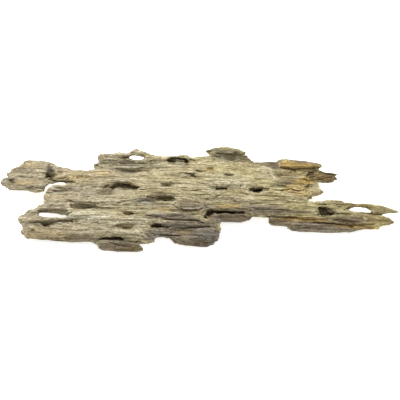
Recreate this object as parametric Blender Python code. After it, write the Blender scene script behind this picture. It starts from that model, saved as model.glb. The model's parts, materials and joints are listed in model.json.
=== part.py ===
"""Honeycomb wood: one weathered slab of driftwood, eaten open along its grain. Metres, +Z up.

The slab is the outer shell of a trunk, so it arches over the table it lies on. Its grain runs along X.
Decay has opened lens-shaped gaps between the fibres. Some go right through, others are hollows.
The slab is laid out on a sheet as it is seen from the front, 45 degrees above the table, in millimetres:
"across" is to the right of the middle and "up" is up the sheet. A form of top and underside heights then
turns the sheet into the solid: a point of the sheet is laid back until it is seen where it is drawn.
"""
import math
from collections import namedtuple

import bmesh
import bpy
import numpy as np
from mathutils import Matrix, Vector, noise
from mathutils.geometry import delaunay_2d_cdt

MM = 0.001
SEEN_FROM = math.radians(45.0)
SHEET_ACROSS, SHEET_UP = 200.0, 64.0    # the sheet reaches this far to each side of its middle
SINE, COSINE = math.sin(SEEN_FROM), math.cos(SEEN_FROM)

EDGE_DROP = 5.0          # how far the rim's middle lies below the top
RIM_HALF = 1.9           # half of the wall left standing at a rim
OUTER_ROUND = 4.6        # the top falls to an outer rim over this length
GAP_ROUND = 2.0          # the same at the rim of a gap
RIM_OVERHANG = 1.1       # how far the rounded rim is seen to stand out beyond its middle
THINNEST = 2.6           # least thickness under a hollow
RESTING_FLAT = 0.9       # what hangs lower than this is worn flat where it rests

FIBRE_WIDTH = 2.15       # one bundle of fibres, across the grain
FIBRE_STEP = 5.6         # spacing of the mesh's points along the grain
FIBRE_STRETCH = FIBRE_STEP / FIBRE_WIDTH
FIBRE_WAVE = 48.0        # length over which a bundle rises and falls
LAYER_WAVE = 110.0       # the same for a layer three bundles wide
FIBRE_RELIEF = 3.2
UNDER_RELIEF = 3.2
HOLLOW_RAGGED = 1.3      # how far the rim of a hollow strays from its lens
RAGGED_SIZE = (9.0, 4.0)    # length of one stray of that rim, across and up
FORM_REACH = (34.0, 10.5)   # how far one height of the form spreads, across and up
TOP_LIFT = (EDGE_DROP - 0.6) * COSINE   # how much higher the top is seen than the middle of the rim

GRAIN_SLOPE, GRAIN_BEND = 0.035, 0.00007   # the grain sinks to the right, and faster towards its ends
LENS_POWER = 2.2         # a little blunter than an ellipse
LAYER_SHARE = 0.9        # relief of a layer beside that of a single bundle
ROUGH_POWER = 0.8        # below 1, more of a bundle is plainly high or plainly low
TOP_RIM_SHARE = 0.35     # share of the relief that is left at a rim, on the top
UNDER_RIM_SHARE = 0.2
UNDER_SHIFT = 0.4 * FIBRE_WIDTH     # the bundles of the underside lie this far beside those of the top
SPLINTER = 2.6           # how far a broken end strays along the grain
WAVER = 0.7              # how far a long edge strays across it
DEEP = 3.5               # the grain bends round hollows deeper than this
RIM_STEP = 1.25 * FIBRE_WIDTH    # spacing of the outline's points, across the grain
HOLLOW_ROOM = 0.42 * FIBRE_WIDTH    # least distance of a hollow's points from those before them
ROW_ROOM = 0.62 * FIBRE_WIDTH       # the same for the rows along the grain

Gap = namedtuple("Gap", "across up half_length half_width")
Hollow = namedtuple("Hollow", "across up half_length half_width depth lean blunt")
Height = namedtuple("Height", "across up top underside")

# The broken outline, clockwise from the tip of the upper left lobe.
OUTLINE = [
    (-199.5, 15.5), (-198.5, 19), (-195.5, 20.5), (-193, 21), (-192.5, 23), (-194.5, 25.5), (-191.5, 27.5),
    (-189.5, 29), (-189.5, 31), (-187, 31.5), (-181.5, 32), (-178, 33.5), (-177.5, 36.5), (-175, 39),
    (-172.5, 40), (-166.5, 39.5), (-159, 38), (-149, 37), (-145.5, 35.5), (-143, 33.5), (-136, 33),
    (-131, 31.5), (-126.5, 30), (-118, 29.5), (-111, 28.5), (-103.5, 29), (-103, 32.5), (-107, 35),
    (-103.5, 37), (-101.5, 39), (-102, 42.5), (-103.5, 44.5), (-99, 45), (-93, 45), (-86, 45), (-85.5, 47),
    (-80, 47.5), (-72.5, 46.5), (-70.5, 49), (-65.5, 51.5), (-60.5, 50.5), (-54.5, 48.5), (-50, 45.5),
    (-45, 43.5), (-38.5, 43), (-30.5, 43), (-21, 43.5), (-17.5, 44.5), (-12.5, 44), (-10.5, 42), (-9, 41.5),
    (0, 42.5), (7, 42.5), (11, 42.5), (9, 45), (5, 47.5), (5, 49), (8, 50), (17.5, 51.5), (27, 52),
    (37, 50.5), (46, 47), (44.5, 45.5), (48.5, 41.5), (53, 38), (65, 38), (74.5, 38), (77.5, 39), (79.5, 38),
    (80.5, 40), (85, 41), (91.5, 40), (103, 38), (114, 37), (120, 36), (122.5, 34.5), (120.5, 32.5),
    (117, 31.5), (120.5, 28.5), (126, 27.5), (133, 27), (138, 26.5), (139.5, 24.5), (136, 24), (138, 22),
    (136, 19), (129, 17), (125, 17.5), (118.5, 19), (117.5, 17.5), (118.5, 13), (122, 8.5), (119, 5.5),
    (111, 4), (112.5, 2.5), (107.5, -0.5), (110.5, -2), (121.5, -1), (133, -0.5), (143, 0), (142, -2.5),
    (150, -2.5), (164.5, -3.5), (173, -4.5), (182, -6.5), (190.5, -9.5), (199, -13), (196, -14),
    (187.5, -14), (182, -15.5), (181, -17), (187.5, -18.5), (190.5, -21), (194, -22.5), (192, -24.5),
    (184.5, -26), (182, -27), (178.5, -29), (172, -30), (160.5, -29), (150, -32), (137.5, -33),
    (124.5, -32.5), (110, -32), (103, -32), (90, -30), (85, -25), (82.5, -24.5), (68.5, -23),
    (67.5, -21.5), (68.5, -19.5), (66, -14), (53, -13.5), (52, -17), (45.5, -20), (41, -21), (33.5, -21),
    (20, -19.5), (20, -24), (17.5, -27), (20, -28), (20, -32), (19, -38), (14, -41.5), (14.5, -43.5),
    (11.5, -44), (8, -46.5), (3.5, -47.5), (-7, -46.5), (-20, -45.5), (-22, -45), (-26.5, -41),
    (-32, -38.5), (-38.5, -37.5), (-44.5, -38.5), (-46.5, -42), (-62, -44), (-57, -48), (-55.5, -50),
    (-60, -51.5), (-70, -52), (-85, -51), (-100, -49.5), (-101, -45.5), (-104.5, -43.5), (-119, -42),
    (-133, -42.5), (-149, -41), (-161.5, -39.5), (-174.5, -38.5), (-176, -37.5), (-174.5, -35.5),
    (-179, -31.5), (-176.5, -29), (-176.5, -26.5), (-179, -24.5), (-182, -21), (-181, -16.5), (-176, -15),
    (-174, -12), (-171.5, -9.5), (-164.5, -8.5), (-157.5, -5.5), (-154.5, -1.5), (-154.5, 1), (-156.5, 4.5),
    (-153.2, 10), (-148.3, 13.8), (-142, 15.4), (-135, 15), (-129.5, 15.2), (-134, 16.8), (-141, 17.4),
    (-148, 16.1), (-153.3, 11.7), (-157.5, 6.6), (-164.5, 8), (-174.5, 10), (-187, 10), (-190, 9.5),
    (-196, 12.5),
]

# Gaps that go right through the slab.
GAPS = [
    Gap(-63.6, 42.0, 8.8, 3.1),
    Gap(-146.5, -15.0, 15.0, 4.0),
    Gap(159.0, -10.4, 11.3, 3.0),
    Gap(-41.0, -27.6, 7.5, 2.3),
    Gap(57.0, 7.4, 5.8, 2.4),
]

# Hollows in the top. Lean 1 puts the deepest line at the far rim, -1 at the near rim. Blunt does the same
# along the grain, 1 at the right end and -1 at the left. A negative depth is a flake or strand that stands
# up from the rest.
HOLLOWS = [
    Hollow(-135.5, 26, 17.5, 7.5, 6.0, 0.0, -0.88),
    Hollow(-146.0, -9.4, 15.0, 3.2, 4.0, -0.5, 0.0),
    Hollow(-88.3, -38.6, 12.6, 2.4, 8.0, 0.5, 0.0),
    Hollow(-76.0, 42.5, 5.0, 2.0, 6.0, 0.2, 0.0),
    Hollow(-75.3, 8.5, 15.0, 8.0, 5.0, 0.9, -0.1),
    Hollow(-116, -6.5, 13.5, 3.4, 6.0, 0.45, -0.7),
    Hollow(-138, -20, 13.0, 2.4, 5.0, 0.3, 0.3),
    Hollow(-155, -24.3, 14.0, 2.3, 6.0, -0.2, 0.4),
    Hollow(-74.2, -26.8, 9.8, 2.8, 5.5, 0.3, 0.0),
    Hollow(-72.2, -13.3, 6.0, 2.1, 4.5, 0.0, 0.5),
    Hollow(-68, 29, 26.0, 3.6, 4.0, 0.5, 0.0),
    Hollow(-70, 36.5, 36.0, 4.2, 4.5, 0.2, 0.0),
    Hollow(-77, 2, 8.0, 3.0, 2.2, 0.2, 0.0),
    Hollow(-26, 39.4, 7.5, 2.5, 9.0, 0.4, 0.0),
    Hollow(-14.0, 37.4, 5.0, 2.6, 9.0, 0.4, 0.3),
    Hollow(-33, 15, 7.5, 2.0, 5.0, -0.3, 0.0),
    Hollow(-9.5, 24.2, 5.8, 1.8, 5.0, 0.3, 0.3),
    Hollow(29, 24.5, 7.0, 2.2, 2.8, 0.0, 0.0),
    Hollow(20.5, 11.2, 6.5, 2.0, 5.0, 0.3, 0.0),
    Hollow(-115, 5.8, 17.0, 3.2, -2.4, -0.5, 0.0),
    Hollow(-92, -1.8, 17.0, 3.4, -2.6, -0.5, 0.3),
    Hollow(67, 10, 7.0, 2.0, 3.0, 0.0, -0.6),
    Hollow(-36, 1, 13.0, 2.9, 6.0, 0.6, 0.2),
    Hollow(-49, 4, 7.5, 1.4, 3.0, 0.0, 0.0),
    Hollow(-11.5, -4.5, 17.0, 6.5, -3.2, -0.78, 0.0),
    Hollow(28, -12.3, 23.0, 2.8, 8.0, 0.35, -0.3),
    Hollow(8, -14.5, 3.8, 4.5, 6.0, 0.0, -0.4),
    Hollow(-22, -19.8, 26.0, 1.3, 3.6, 0.5, 0.2),
    Hollow(-27, -35, 10.0, 1.2, 2.6, 0.0, 0.0),
    Hollow(-95, -33, 41.0, 8.5, -2.8, -0.5, 0.9),
    Hollow(79.5, 13.8, 10.5, 2.1, 4.6, 0.2, 0.0),
    Hollow(111.5, 12.2, 6.8, 3.6, 3.6, 0.0, -0.6),
    Hollow(114, 24.5, 9.5, 5.2, 4.2, 0.2, -0.4),
    Hollow(105, 19.2, 11.5, 1.7, 3.0, 0.0, 0.3),
    Hollow(126.5, -12, 9.3, 4.9, 8.0, 0.0, -0.5),
    Hollow(115, -20.5, 48.0, 2.3, 4.6, 0.3, 0.0),
    Hollow(78, 23, 6.0, 5.2, 2.2, 0.0, 0.0),
    Hollow(92, 28.5, 4.2, 1.8, 3.2, 0.0, 0.0),
    Hollow(73, 34, 8.0, 4.0, 2.2, 0.0, 0.3),
    Hollow(100, 30.3, 18.0, 1.8, 4.6, 0.4, 0.4),
    Hollow(101, 36, 22.0, 4.2, -3.2, -0.2, -0.4),
    Hollow(30, 41.5, 20.0, 4.5, 6.5, 0.75, 0.3),
    Hollow(150, -18, 17.0, 4.2, -2.4, -0.4, 0.5),
    Hollow(-169, -30.5, 4.2, 1.8, 2.8, 0.0, 0.0),
    Hollow(-189, 18.5, 4.2, 2.0, 2.6, 0.0, 0.0),
    Hollow(-172, 22, 18.0, 1.5, 2.4, 0.0, 0.0),
    Hollow(-95, 12, 7.5, 2.4, 3.4, 0.5, 0.4),
    Hollow(-129, 10, 24.0, 2.8, 3.0, 0.3, 0.0),
]

# Hollows in the underside, wide and shallow where the shell has rotted from below. A negative depth is a
# foot: the near edge rests along its length, and three feet carry the far side.
UNDER_HOLLOWS = [
    Hollow(-118, 2, 30.0, 5.0, 4.0, 0.0, 0.2),
    Hollow(-52, 14, 34.0, 5.5, 4.5, 0.2, 0.0),
    Hollow(-60, -16, 26.0, 4.0, 4.0, -0.2, 0.0),
    Hollow(0, 2, 24.0, 5.0, 4.5, 0.0, -0.3),
    Hollow(40, 24, 26.0, 4.6, 4.0, 0.0, 0.0),
    Hollow(62, -2, 22.0, 4.0, 4.0, 0.3, 0.4),
    Hollow(105, 6, 18.0, 4.0, 3.0, 0.0, 0.0),
    Hollow(-150, 24, 24.0, 4.0, 2.6, 0.0, 0.0),
    Hollow(-6, -30, 16.0, 3.2, 2.0, 0.0, 0.0),
    Hollow(-103, 24, 17.0, 5.4, -11.0, 0.0, 0.0),
    Hollow(-9, 31, 19.0, 5.4, -11.0, 0.0, 0.0),
    Hollow(88, 26, 17.0, 5.2, -11.0, 0.0, 0.0),
]

# The form: heights of the top and the underside before any relief.
FORM = [
    Height(-190, 18, 20, 13), Height(-168, 30, 24, 13), Height(-150, 16, 22, 12), Height(-165, 13, 19, 11),
    Height(-135, 28, 24, 11), Height(-112, 24, 25, 1), Height(-175, -20, 17, 8), Height(-170, -34, 12, 2),
    Height(-160, -10, 20, 10), Height(-145, -22, 17, 6), Height(-140, -36, 12, 0), Height(-140, 4, 23, 10),
    Height(-140, -6, 23, 9), Height(-112, 8, 26, 10), Height(-110, -14, 24, 8), Height(-115, -29, 18, 3),
    Height(-110, -40, 11, 0), Height(-80, 49, 29, 18), Height(-98, 40, 24, 12), Height(-68, 38, 22, 7),
    Height(-78, 22, 28, 8), Height(-78, 2, 29, 10), Height(-78, -19, 25, 7), Height(-78, -34, 17, 2),
    Height(-75, -49, 8, 0), Height(-55, 48, 28, 18), Height(-40, 41, 23, 8), Height(-40, 25, 28, 4),
    Height(-40, 5, 29, 10), Height(-40, -14, 24, 7), Height(-40, -29, 15, 2), Height(-45, -39, 10, 0),
    Height(-5, 41, 23, 6), Height(-8, 29, 27, -2), Height(0, 8, 28, 8), Height(0, -8, 23, 6),
    Height(0, -24, 16, 3), Height(2, -42, 9, 0), Height(27, 50, 29, 20), Height(27, 42, 22, 10),
    Height(27, 24, 28, 8), Height(27, 2, 26, 9), Height(30, -9, 20, 5), Height(34, -19, 11, 1),
    Height(60, 37, 21, 8), Height(60, 21, 26, 7), Height(60, 4, 26, 8), Height(60, -12, 18, 4),
    Height(100, 37, 24, 13), Height(90, 25, 20, -1), Height(95, 11, 21, 5), Height(95, -4, 21, 7),
    Height(95, -16, 15, 3), Height(100, -28, 9, 0), Height(120, 34, 23, 14), Height(130, 23, 17, 8),
    Height(116, 10, 19, 8), Height(138, -3, 20, 11), Height(132, -12, 18, 6), Height(140, -22, 13, 1),
    Height(132, -31, 8, 0), Height(172, -6, 17, 9), Height(168, -20, 14, 4), Height(172, -28, 10, 1),
    Height(194, -12, 13, 8), Height(188, -22, 11, 5),
]


def fibre(across, up):
    """The line of the grain that runs through a point: the grain sinks gently to the right."""
    return up + GRAIN_SLOPE * across + GRAIN_BEND * across**2


def up_of(across, line):
    """Where a line of the grain runs at this place across, the inverse of fibre."""
    return line - GRAIN_SLOPE * across - GRAIN_BEND * across**2


def lens(along):
    """Half-width of a lens at its place along, from -1 to 1, as a share of its widest."""
    return np.sqrt(np.clip(1.0 - np.abs(along) ** LENS_POWER, 0.0, None))


def parted(across, line):
    """The grain bends round the gaps: moves each line of the grain away from the gaps it passes."""
    moved = np.array(line, float)
    for gap in GAPS + [h for h in HOLLOWS if h.depth > DEEP]:
        middle = fibre(gap.across, gap.up)
        width = gap.half_width * np.exp(-(((across - gap.across) / gap.half_length) ** 2))
        away = line - middle
        moved = moved + np.sign(away) * width * np.exp(-np.abs(away) / (2.0 * gap.half_width))
    return moved


def blend_heights(across, up):
    """Top and underside of the form at each point, smoothly between the heights given."""
    given = np.array(FORM)
    reach_across, reach_up = FORM_REACH
    far_across = (across[:, None] - given[:, 0]) / reach_across
    far_up = (up[:, None] - given[:, 1]) / reach_up
    weight = np.exp(-far_across**2 - far_up**2) + 1e-12
    weight /= weight.sum(1, keepdims=True)
    return weight @ given[:, 2], weight @ given[:, 3]


def ramp(place, peak):
    """0 at both ends of -1..1 and highest at the peak, with a soft shoulder: steep on the side of the peak."""
    rising = (place + 1.0) / (1.0 + peak)
    falling = (1.0 - place) / (1.0 - peak)
    share = np.clip(np.minimum(rising, falling) * 1.25, 0.0, 1.0)
    return share * share * (3.0 - 2.0 * share)


def hollow_depth(hollow, across, up):
    """How deep one hollow is at each point."""
    size_across, size_up = RAGGED_SIZE
    places = zip(across / size_across, up / size_up)
    ragged = np.array([noise.noise(Vector((a, u, hollow.across))) for a, u in places])
    along = (across + HOLLOW_RAGGED * FIBRE_STRETCH * ragged - hollow.across) / hollow.half_length
    wide = hollow.half_width * np.maximum(lens(along), 1e-6)
    side = (fibre(across, up) + HOLLOW_RAGGED * ragged - fibre(hollow.across, hollow.up)) / wide
    inside = (np.abs(along) < 1.0) & (np.abs(side) < 1.0)
    shape = ramp(np.clip(side, -1, 1), hollow.lean) * ramp(np.clip(along, -1, 1), hollow.blunt) ** 0.5
    return np.where(inside, hollow.depth * shape, 0.0)


def bundles(across, line, seed):
    """Height of the fibre bundles: each bundle rises and falls along its length by itself."""
    row = line / FIBRE_WIDTH
    low = np.floor(row)
    share = row - low

    def height(which, where):
        own = noise.noise(Vector((where / FIBRE_WAVE, which * 7.31 + seed, seed)))
        layer = noise.noise(Vector((where / LAYER_WAVE, math.floor(which / 3.0) * 5.17 + seed, -seed)))
        return math.copysign(abs(own) ** ROUGH_POWER, own) + LAYER_SHARE * layer

    below = np.array([height(r, a) for r, a in zip(low, across)])
    above = np.array([height(r + 1, a) for r, a in zip(low, across)])
    return below + (above - below) * share


def ring(shape, share=1.0):
    """Points round a lens, at this share of its size, along the grain."""
    a, b = shape.half_length * share, shape.half_width * share
    count = max(8, 2 * round(2.1 * (a / FIBRE_STRETCH + b) / FIBRE_WIDTH))
    middle = fibre(shape.across, shape.up)
    points = []
    for i in range(count):
        turn = 2.0 * math.pi * i / count
        along = math.cos(turn)
        side = math.copysign(float(lens(np.array(along))), math.sin(turn)) if abs(along) < 1 else 0.0
        across = shape.across + a * along
        points.append((across, up_of(across, middle + b * side)))
    return points


def drawn_in(points):
    """The outline moved in where it runs along the grain, because the rounded rim stands out past its middle."""
    made = []
    for before, (x, y), after in zip(points[-1:] + points[:-1], points, points[1:] + points[:1]):
        run_x, run_y = after[0] - before[0], after[1] - before[1]
        made.append((x, y - RIM_OVERHANG * run_x * abs(run_x) / (run_x**2 + run_y**2)))
    return made


def jagged(points, seed):
    """A closed outline with points about a fibre step apart, and broken ends splintered along the grain."""
    made = []
    for (x0, y0), (x1, y1) in zip(points, points[1:] + points[:1]):
        length = math.hypot((x1 - x0) / FIBRE_STRETCH, y1 - y0)
        pieces = max(1, round(length / RIM_STEP))
        end_on = abs(y1 - y0) / (abs(x1 - x0) + abs(y1 - y0))
        for i in range(pieces):
            share = i / pieces
            x, y = x0 + (x1 - x0) * share, y0 + (y1 - y0) * share
            if i:
                x += SPLINTER * end_on * noise.noise(Vector((y * 0.9, seed, 0.0)))
                y += WAVER * (1.0 - end_on) * noise.noise(Vector((x * 0.21, seed, 4.0)))
            made.append((x, y))
    return made


def inside(points, loop):
    """Which points lie inside a closed loop."""
    x, y = points[:, 0], points[:, 1]
    within = np.zeros(len(points), bool)
    for (x0, y0), (x1, y1) in zip(loop, loop[1:] + loop[:1]):
        crosses = (y0 > y) != (y1 > y)
        if y0 != y1:
            within ^= crosses & (x < (x1 - x0) * (y - y0) / (y1 - y0) + x0)
    return within


def rim_distance(points, loops):
    """Distance of each point to the nearest rim, measured on the slab and not on the slanted sheet."""
    flat = points / np.array((1.0, SINE))
    best = np.full(len(points), 1e9)
    for loop in loops:
        ends = np.array(loop) / np.array((1.0, SINE))
        for start, end in zip(ends, np.roll(ends, -1, axis=0)):
            run = end - start
            share = np.clip(((flat - start) @ run) / max(run @ run, 1e-12), 0.0, 1.0)
            gap = flat - start - share[:, None] * run
            best = np.minimum(best, np.hypot(gap[:, 0], gap[:, 1]))
    return best


def spread(fixed, wanted, apart):
    """Adds the wanted points that have room round them, in a measure that is shortened along the grain."""
    kept = [(x / FIBRE_STRETCH, y) for x, y in fixed]
    added = []
    for (x, y), room in zip(wanted, apart):
        place = np.array((x / FIBRE_STRETCH, y))
        near = np.array(kept) - place
        if np.min(near[:, 0] ** 2 + near[:, 1] ** 2) >= room * room:
            kept.append((x / FIBRE_STRETCH, y))
            added.append((x, y))
    return added


def sheet_points(outer, gap_rings):
    """The points of the sheet: its rims, the rims of the hollows, and rows along the fibre bundles."""
    rims = outer + [p for r in gap_rings for p in r]
    wanted, apart = [], []
    for hollow in HOLLOWS:
        lowered = hollow._replace(up=hollow.up - TOP_LIFT)
        shares = (1.0, 0.62, 0.0) if hollow.half_width > 2.2 else (1.0, 0.25)
        for share in shares:
            found = ring(lowered, share) if share else [(lowered.across, lowered.up)]
            wanted += found
            apart += [HOLLOW_ROOM] * len(found)
    rows = math.ceil(SHEET_UP / FIBRE_WIDTH)
    for row in range(-rows, rows + 1):
        shift = 0.5 * FIBRE_STEP * (row % 2)
        places = np.arange(-SHEET_ACROSS, SHEET_ACROSS, FIBRE_STEP) + shift
        lines = parted(places, np.full(len(places), row * FIBRE_WIDTH))
        wanted += list(zip(places, up_of(places, lines)))
        apart += [ROW_ROOM] * len(places)
    wanted, apart = np.array(wanted), np.array(apart)
    keep = inside(wanted, outer)
    for gap_ring in gap_rings:
        keep &= ~inside(wanted, gap_ring)
    return rims, spread(rims, wanted[keep], apart[keep])


def triangulate(outer, gap_rings, rims, others):
    """Triangles of the sheet, longer along the grain, with every rim kept as an edge."""
    points = rims + others
    flat = [Vector((x / FIBRE_STRETCH, y)) for x, y in points]
    edges, start = [], 0
    for loop in [outer] + gap_rings:
        edges += [(start + i, start + (i + 1) % len(loop)) for i in range(len(loop))]
        start += len(loop)
    result = delaunay_2d_cdt(flat, edges, [list(range(len(outer)))], 1, 1e-5)
    where = np.array([(v[0] * FIBRE_STRETCH, v[1]) for v in result[0]])
    faces = [tuple(f) for f in result[2]]
    middles = np.array([where[list(f)].mean(0) for f in faces])
    keep = inside(middles, outer)
    for gap_ring in gap_rings:
        keep &= ~inside(middles, gap_ring)
    return where, [f for f, k in zip(faces, keep) if k]


def round_off(distance, radius):
    """A quarter circle: 0 at the rim and 1 from one radius in."""
    return np.sqrt(1.0 - (1.0 - np.clip(distance / radius, 0.0, 1.0)) ** 2)


def lay_heights(where, outer, gap_rings):
    """Plan position, top and underside of every point of the sheet, in millimetres."""
    across, up = where[:, 0], where[:, 1]
    top_form, under_form = blend_heights(across, up)
    middle = top_form - EDGE_DROP
    to_outer = rim_distance(where, [outer])
    to_gap = rim_distance(where, gap_rings)
    rise = np.minimum(round_off(to_outer, OUTER_ROUND), round_off(to_gap, GAP_ROUND))
    line = parted(across, fibre(across, up))
    top = middle + RIM_HALF + (EDGE_DROP - RIM_HALF) * rise
    top += FIBRE_RELIEF * bundles(across, line, 3.0) * (TOP_RIM_SHARE + (1.0 - TOP_RIM_SHARE) * rise)
    under = middle - RIM_HALF + (under_form - middle + RIM_HALF) * rise
    left = UNDER_RIM_SHARE + (1.0 - UNDER_RIM_SHARE) * rise
    under += UNDER_RELIEF * bundles(across, line + UNDER_SHIFT, 11.0) * left
    seen_up = up + TOP_LIFT
    for hollow in HOLLOWS:
        top -= hollow_depth(hollow, across, seen_up) * np.clip(rise + 0.25, 0.0, 1.0)
    for hollow in UNDER_HOLLOWS:
        under += hollow_depth(hollow, across, up) * rise
    under = np.where(under < RESTING_FLAT, 0.0, under - RESTING_FLAT)
    top -= RESTING_FLAT
    top = np.maximum(top, 1.5 * THINNEST)
    under = np.minimum(under, top - THINNEST)
    away = (up - COSINE * (middle - RESTING_FLAT)) / SINE
    return across, away, top, under


def slab_mesh():
    """The closed mesh of the slab: the top sheet, extruded down to the underside."""
    outer = jagged(drawn_in(OUTLINE), 1.0)
    gap_rings = [ring(gap) for gap in GAPS]
    rims, others = sheet_points(outer, gap_rings)
    where, faces = triangulate(outer, gap_rings, rims, others)
    across, away, top, under = lay_heights(where, outer, gap_rings)

    shaped = bmesh.new()
    underside = shaped.verts.layers.float.new("underside")
    verts = []
    for x, y, z, below in zip(across, away, top, under):
        vert = shaped.verts.new((x * MM, y * MM, z * MM))
        vert[underside] = below * MM
        verts.append(vert)
    for face in faces:
        shaped.faces.new([verts[i] for i in face])
    for vert in [v for v in verts if not v.link_faces]:
        shaped.verts.remove(vert)
    lowered = bmesh.ops.extrude_face_region(shaped, geom=shaped.faces[:])
    for vert in [g for g in lowered["geom"] if isinstance(g, bmesh.types.BMVert)]:
        vert.co.z = vert[underside]
    bmesh.ops.triangulate(shaped, faces=shaped.faces[:])
    bmesh.ops.recalc_face_normals(shaped, faces=shaped.faces[:])
    mesh = bpy.data.meshes.new("slab")
    shaped.to_mesh(mesh)
    shaped.free()
    return mesh


def weathered_wood():
    """The material: dry, dull, pale tan wood."""
    material = bpy.data.materials.new("weathered_wood")
    material.use_nodes = True
    shader = material.node_tree.nodes["Principled BSDF"]
    shader.inputs["Base Color"].default_value = (0.43, 0.36, 0.23, 1.0)
    shader.inputs["Roughness"].default_value = 0.85
    shader.inputs["Metallic"].default_value = 0.0
    return material


def main():
    for old in list(bpy.data.objects):
        bpy.data.objects.remove(old)
    mesh = slab_mesh()
    mesh.shade_smooth()
    mesh.set_sharp_from_angle(angle=math.radians(40.0))
    mesh.materials.append(weathered_wood())
    slab = bpy.data.objects.new("honeycomb_wood", mesh)
    bpy.context.scene.collection.objects.link(slab)
    corners = np.array([v.co for v in mesh.vertices])
    middle = (corners.min(0) + corners.max(0)) / 2.0
    mesh.transform(Matrix.Translation((-middle[0], -middle[1], -corners.min(0)[2])))


main()
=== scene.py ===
import json
import math
from collections import namedtuple

import bmesh
import bpy
import numpy as np
from mathutils import Matrix, Vector, noise
from mathutils.bvhtree import BVHTree

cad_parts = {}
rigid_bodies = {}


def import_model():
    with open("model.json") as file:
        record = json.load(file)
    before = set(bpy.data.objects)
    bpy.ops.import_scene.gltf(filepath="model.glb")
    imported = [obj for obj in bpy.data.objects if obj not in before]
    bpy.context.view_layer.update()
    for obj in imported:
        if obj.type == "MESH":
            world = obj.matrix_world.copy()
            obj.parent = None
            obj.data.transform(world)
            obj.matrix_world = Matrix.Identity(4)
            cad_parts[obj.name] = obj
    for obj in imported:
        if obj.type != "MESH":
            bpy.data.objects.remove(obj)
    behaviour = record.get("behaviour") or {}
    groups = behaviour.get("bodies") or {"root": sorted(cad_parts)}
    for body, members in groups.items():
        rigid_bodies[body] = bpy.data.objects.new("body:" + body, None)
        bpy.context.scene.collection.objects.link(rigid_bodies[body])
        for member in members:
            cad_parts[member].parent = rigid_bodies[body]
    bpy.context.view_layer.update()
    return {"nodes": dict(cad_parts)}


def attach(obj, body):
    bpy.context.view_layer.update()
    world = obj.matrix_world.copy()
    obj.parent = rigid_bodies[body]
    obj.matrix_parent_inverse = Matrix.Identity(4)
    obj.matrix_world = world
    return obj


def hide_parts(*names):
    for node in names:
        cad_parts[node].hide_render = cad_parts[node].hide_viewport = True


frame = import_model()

MM = 0.001

# The camera looks down at the front of the slab from far off.
SEEN_FROM = math.radians(45.0)
SEEN_UP = np.array((0.0, math.sin(SEEN_FROM), math.cos(SEEN_FROM)))
TO_CAMERA = np.array((0.0, -math.cos(SEEN_FROM), math.sin(SEEN_FROM)))
UPWARD = np.array((0.0, 0.0, 1.0))
PICTURE_WIDTH = 400.0  # what the picture takes in, at the slab
MIDDLE_UP = 8.0  # the picture's middle is this far up from the slab's origin
LENS = 800.0
SENSOR = 36.0
SIGHT_START = 300.0  # a line of sight on to the slab starts this far off

# The studio, in metres and watts.
Lamp = namedtuple("Lamp", "name place size power")
LAMPS = (
    Lamp("overhead", (-0.25, 0.55, 1.3), 0.55, 21.4),
    Lamp("front", (0.6, -1.4, 0.9), 1.2, 3.0),
)
WHITE = (1.0, 1.0, 1.0, 1.0)
WORLD_LIGHT = 0.6
FLOOR_SIZE = 3.0
FLOOR_DROP = 0.0002  # the floor lies this far under the slab, so the two faces don't mix
FLOOR_COLOUR = (0.8, 0.8, 0.8, 1.0)
FLOOR_GLOW = 0.7  # keeps the floor near white under the slab too
FLOOR_ROUGHNESS = 0.9

# The slab, and the line of its grain, which sinks gently to the right.
HALF_LENGTH = 200.0
GRAIN_SLOPE, GRAIN_BEND = 0.035, 0.00007
SPAR_START, SPAR_LENGTH = 172.0, 24.0
SPAR_UNDER = -9.0  # the long thin spar at the right end lies above this
SPAR_EDGE = 3.0  # and takes its full share this far further up
SPAR_REACH = 4.0  # how far its tip is drawn out again after the smoothing

# The meshes.
GRAIN_SQUEEZE = 2.5  # the mesh is this much coarser along the grain
ROUGH, FINE = 0.8, 0.46  # size of the mesh's faces across the grain, before and after the dents
MOST_FACES = 196000  # triangles left in the finished mesh
MERGED = 1e-6  # corners of the solid this near to each other are one, in metres
WINDOW_REACH = 60.0  # a window's prism reaches this far from the slab's middle either way
GALLERY_LUMPS = (2.4, 2.0, 2.0)
GALLERY_ROUGH = 0.34  # how far a gallery's wall wanders, as a share of its size
GALLERY_BLUNT = 0.16  # how much fuller its two ends are than an egg's
GALLERY_SEEDS = 3.7  # from one gallery's roughness to the next one's
FIRST_ROUNDS, BULGE_ROUNDS, CAVITY_ROUNDS = 3, 30, 60
KEPT = 0.5  # the share of its own value that a vertex keeps in a round of averaging

# Dents and cuts.
THINNEST = 2.4  # the least wood that a dent leaves
NO_DENT = 0.1  # a shallower dent needs no test of the wood under it
SKIN = 0.3  # that test starts this far in
RIM_RUN = 0.7  # a crisp rim falls to its full depth over this length
DENT_REACH = 1.4  # no dent reaches further than this many times its half length
DENT_WANDER = 0.3  # how far the rims wander: of a dent, and of a cut in both directions
CUT_WANDER_ACROSS, CUT_WANDER_UP = 1.2, 0.8
CUT_MARGIN = 2.0
# How soon each reaches its full height or depth as the surface turns towards the camera, or upward.
DENTS_FACE, CRACKS_FACE, FLAKES_FACE = 4.0, 3.0, 2.0

# Cracks and rims.
LINE_REACH = 1.4  # a line fades out at this many times half its width
LINE_STRAY = 1.2  # how far it strays
LINE_MARGIN = 0.5

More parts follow.
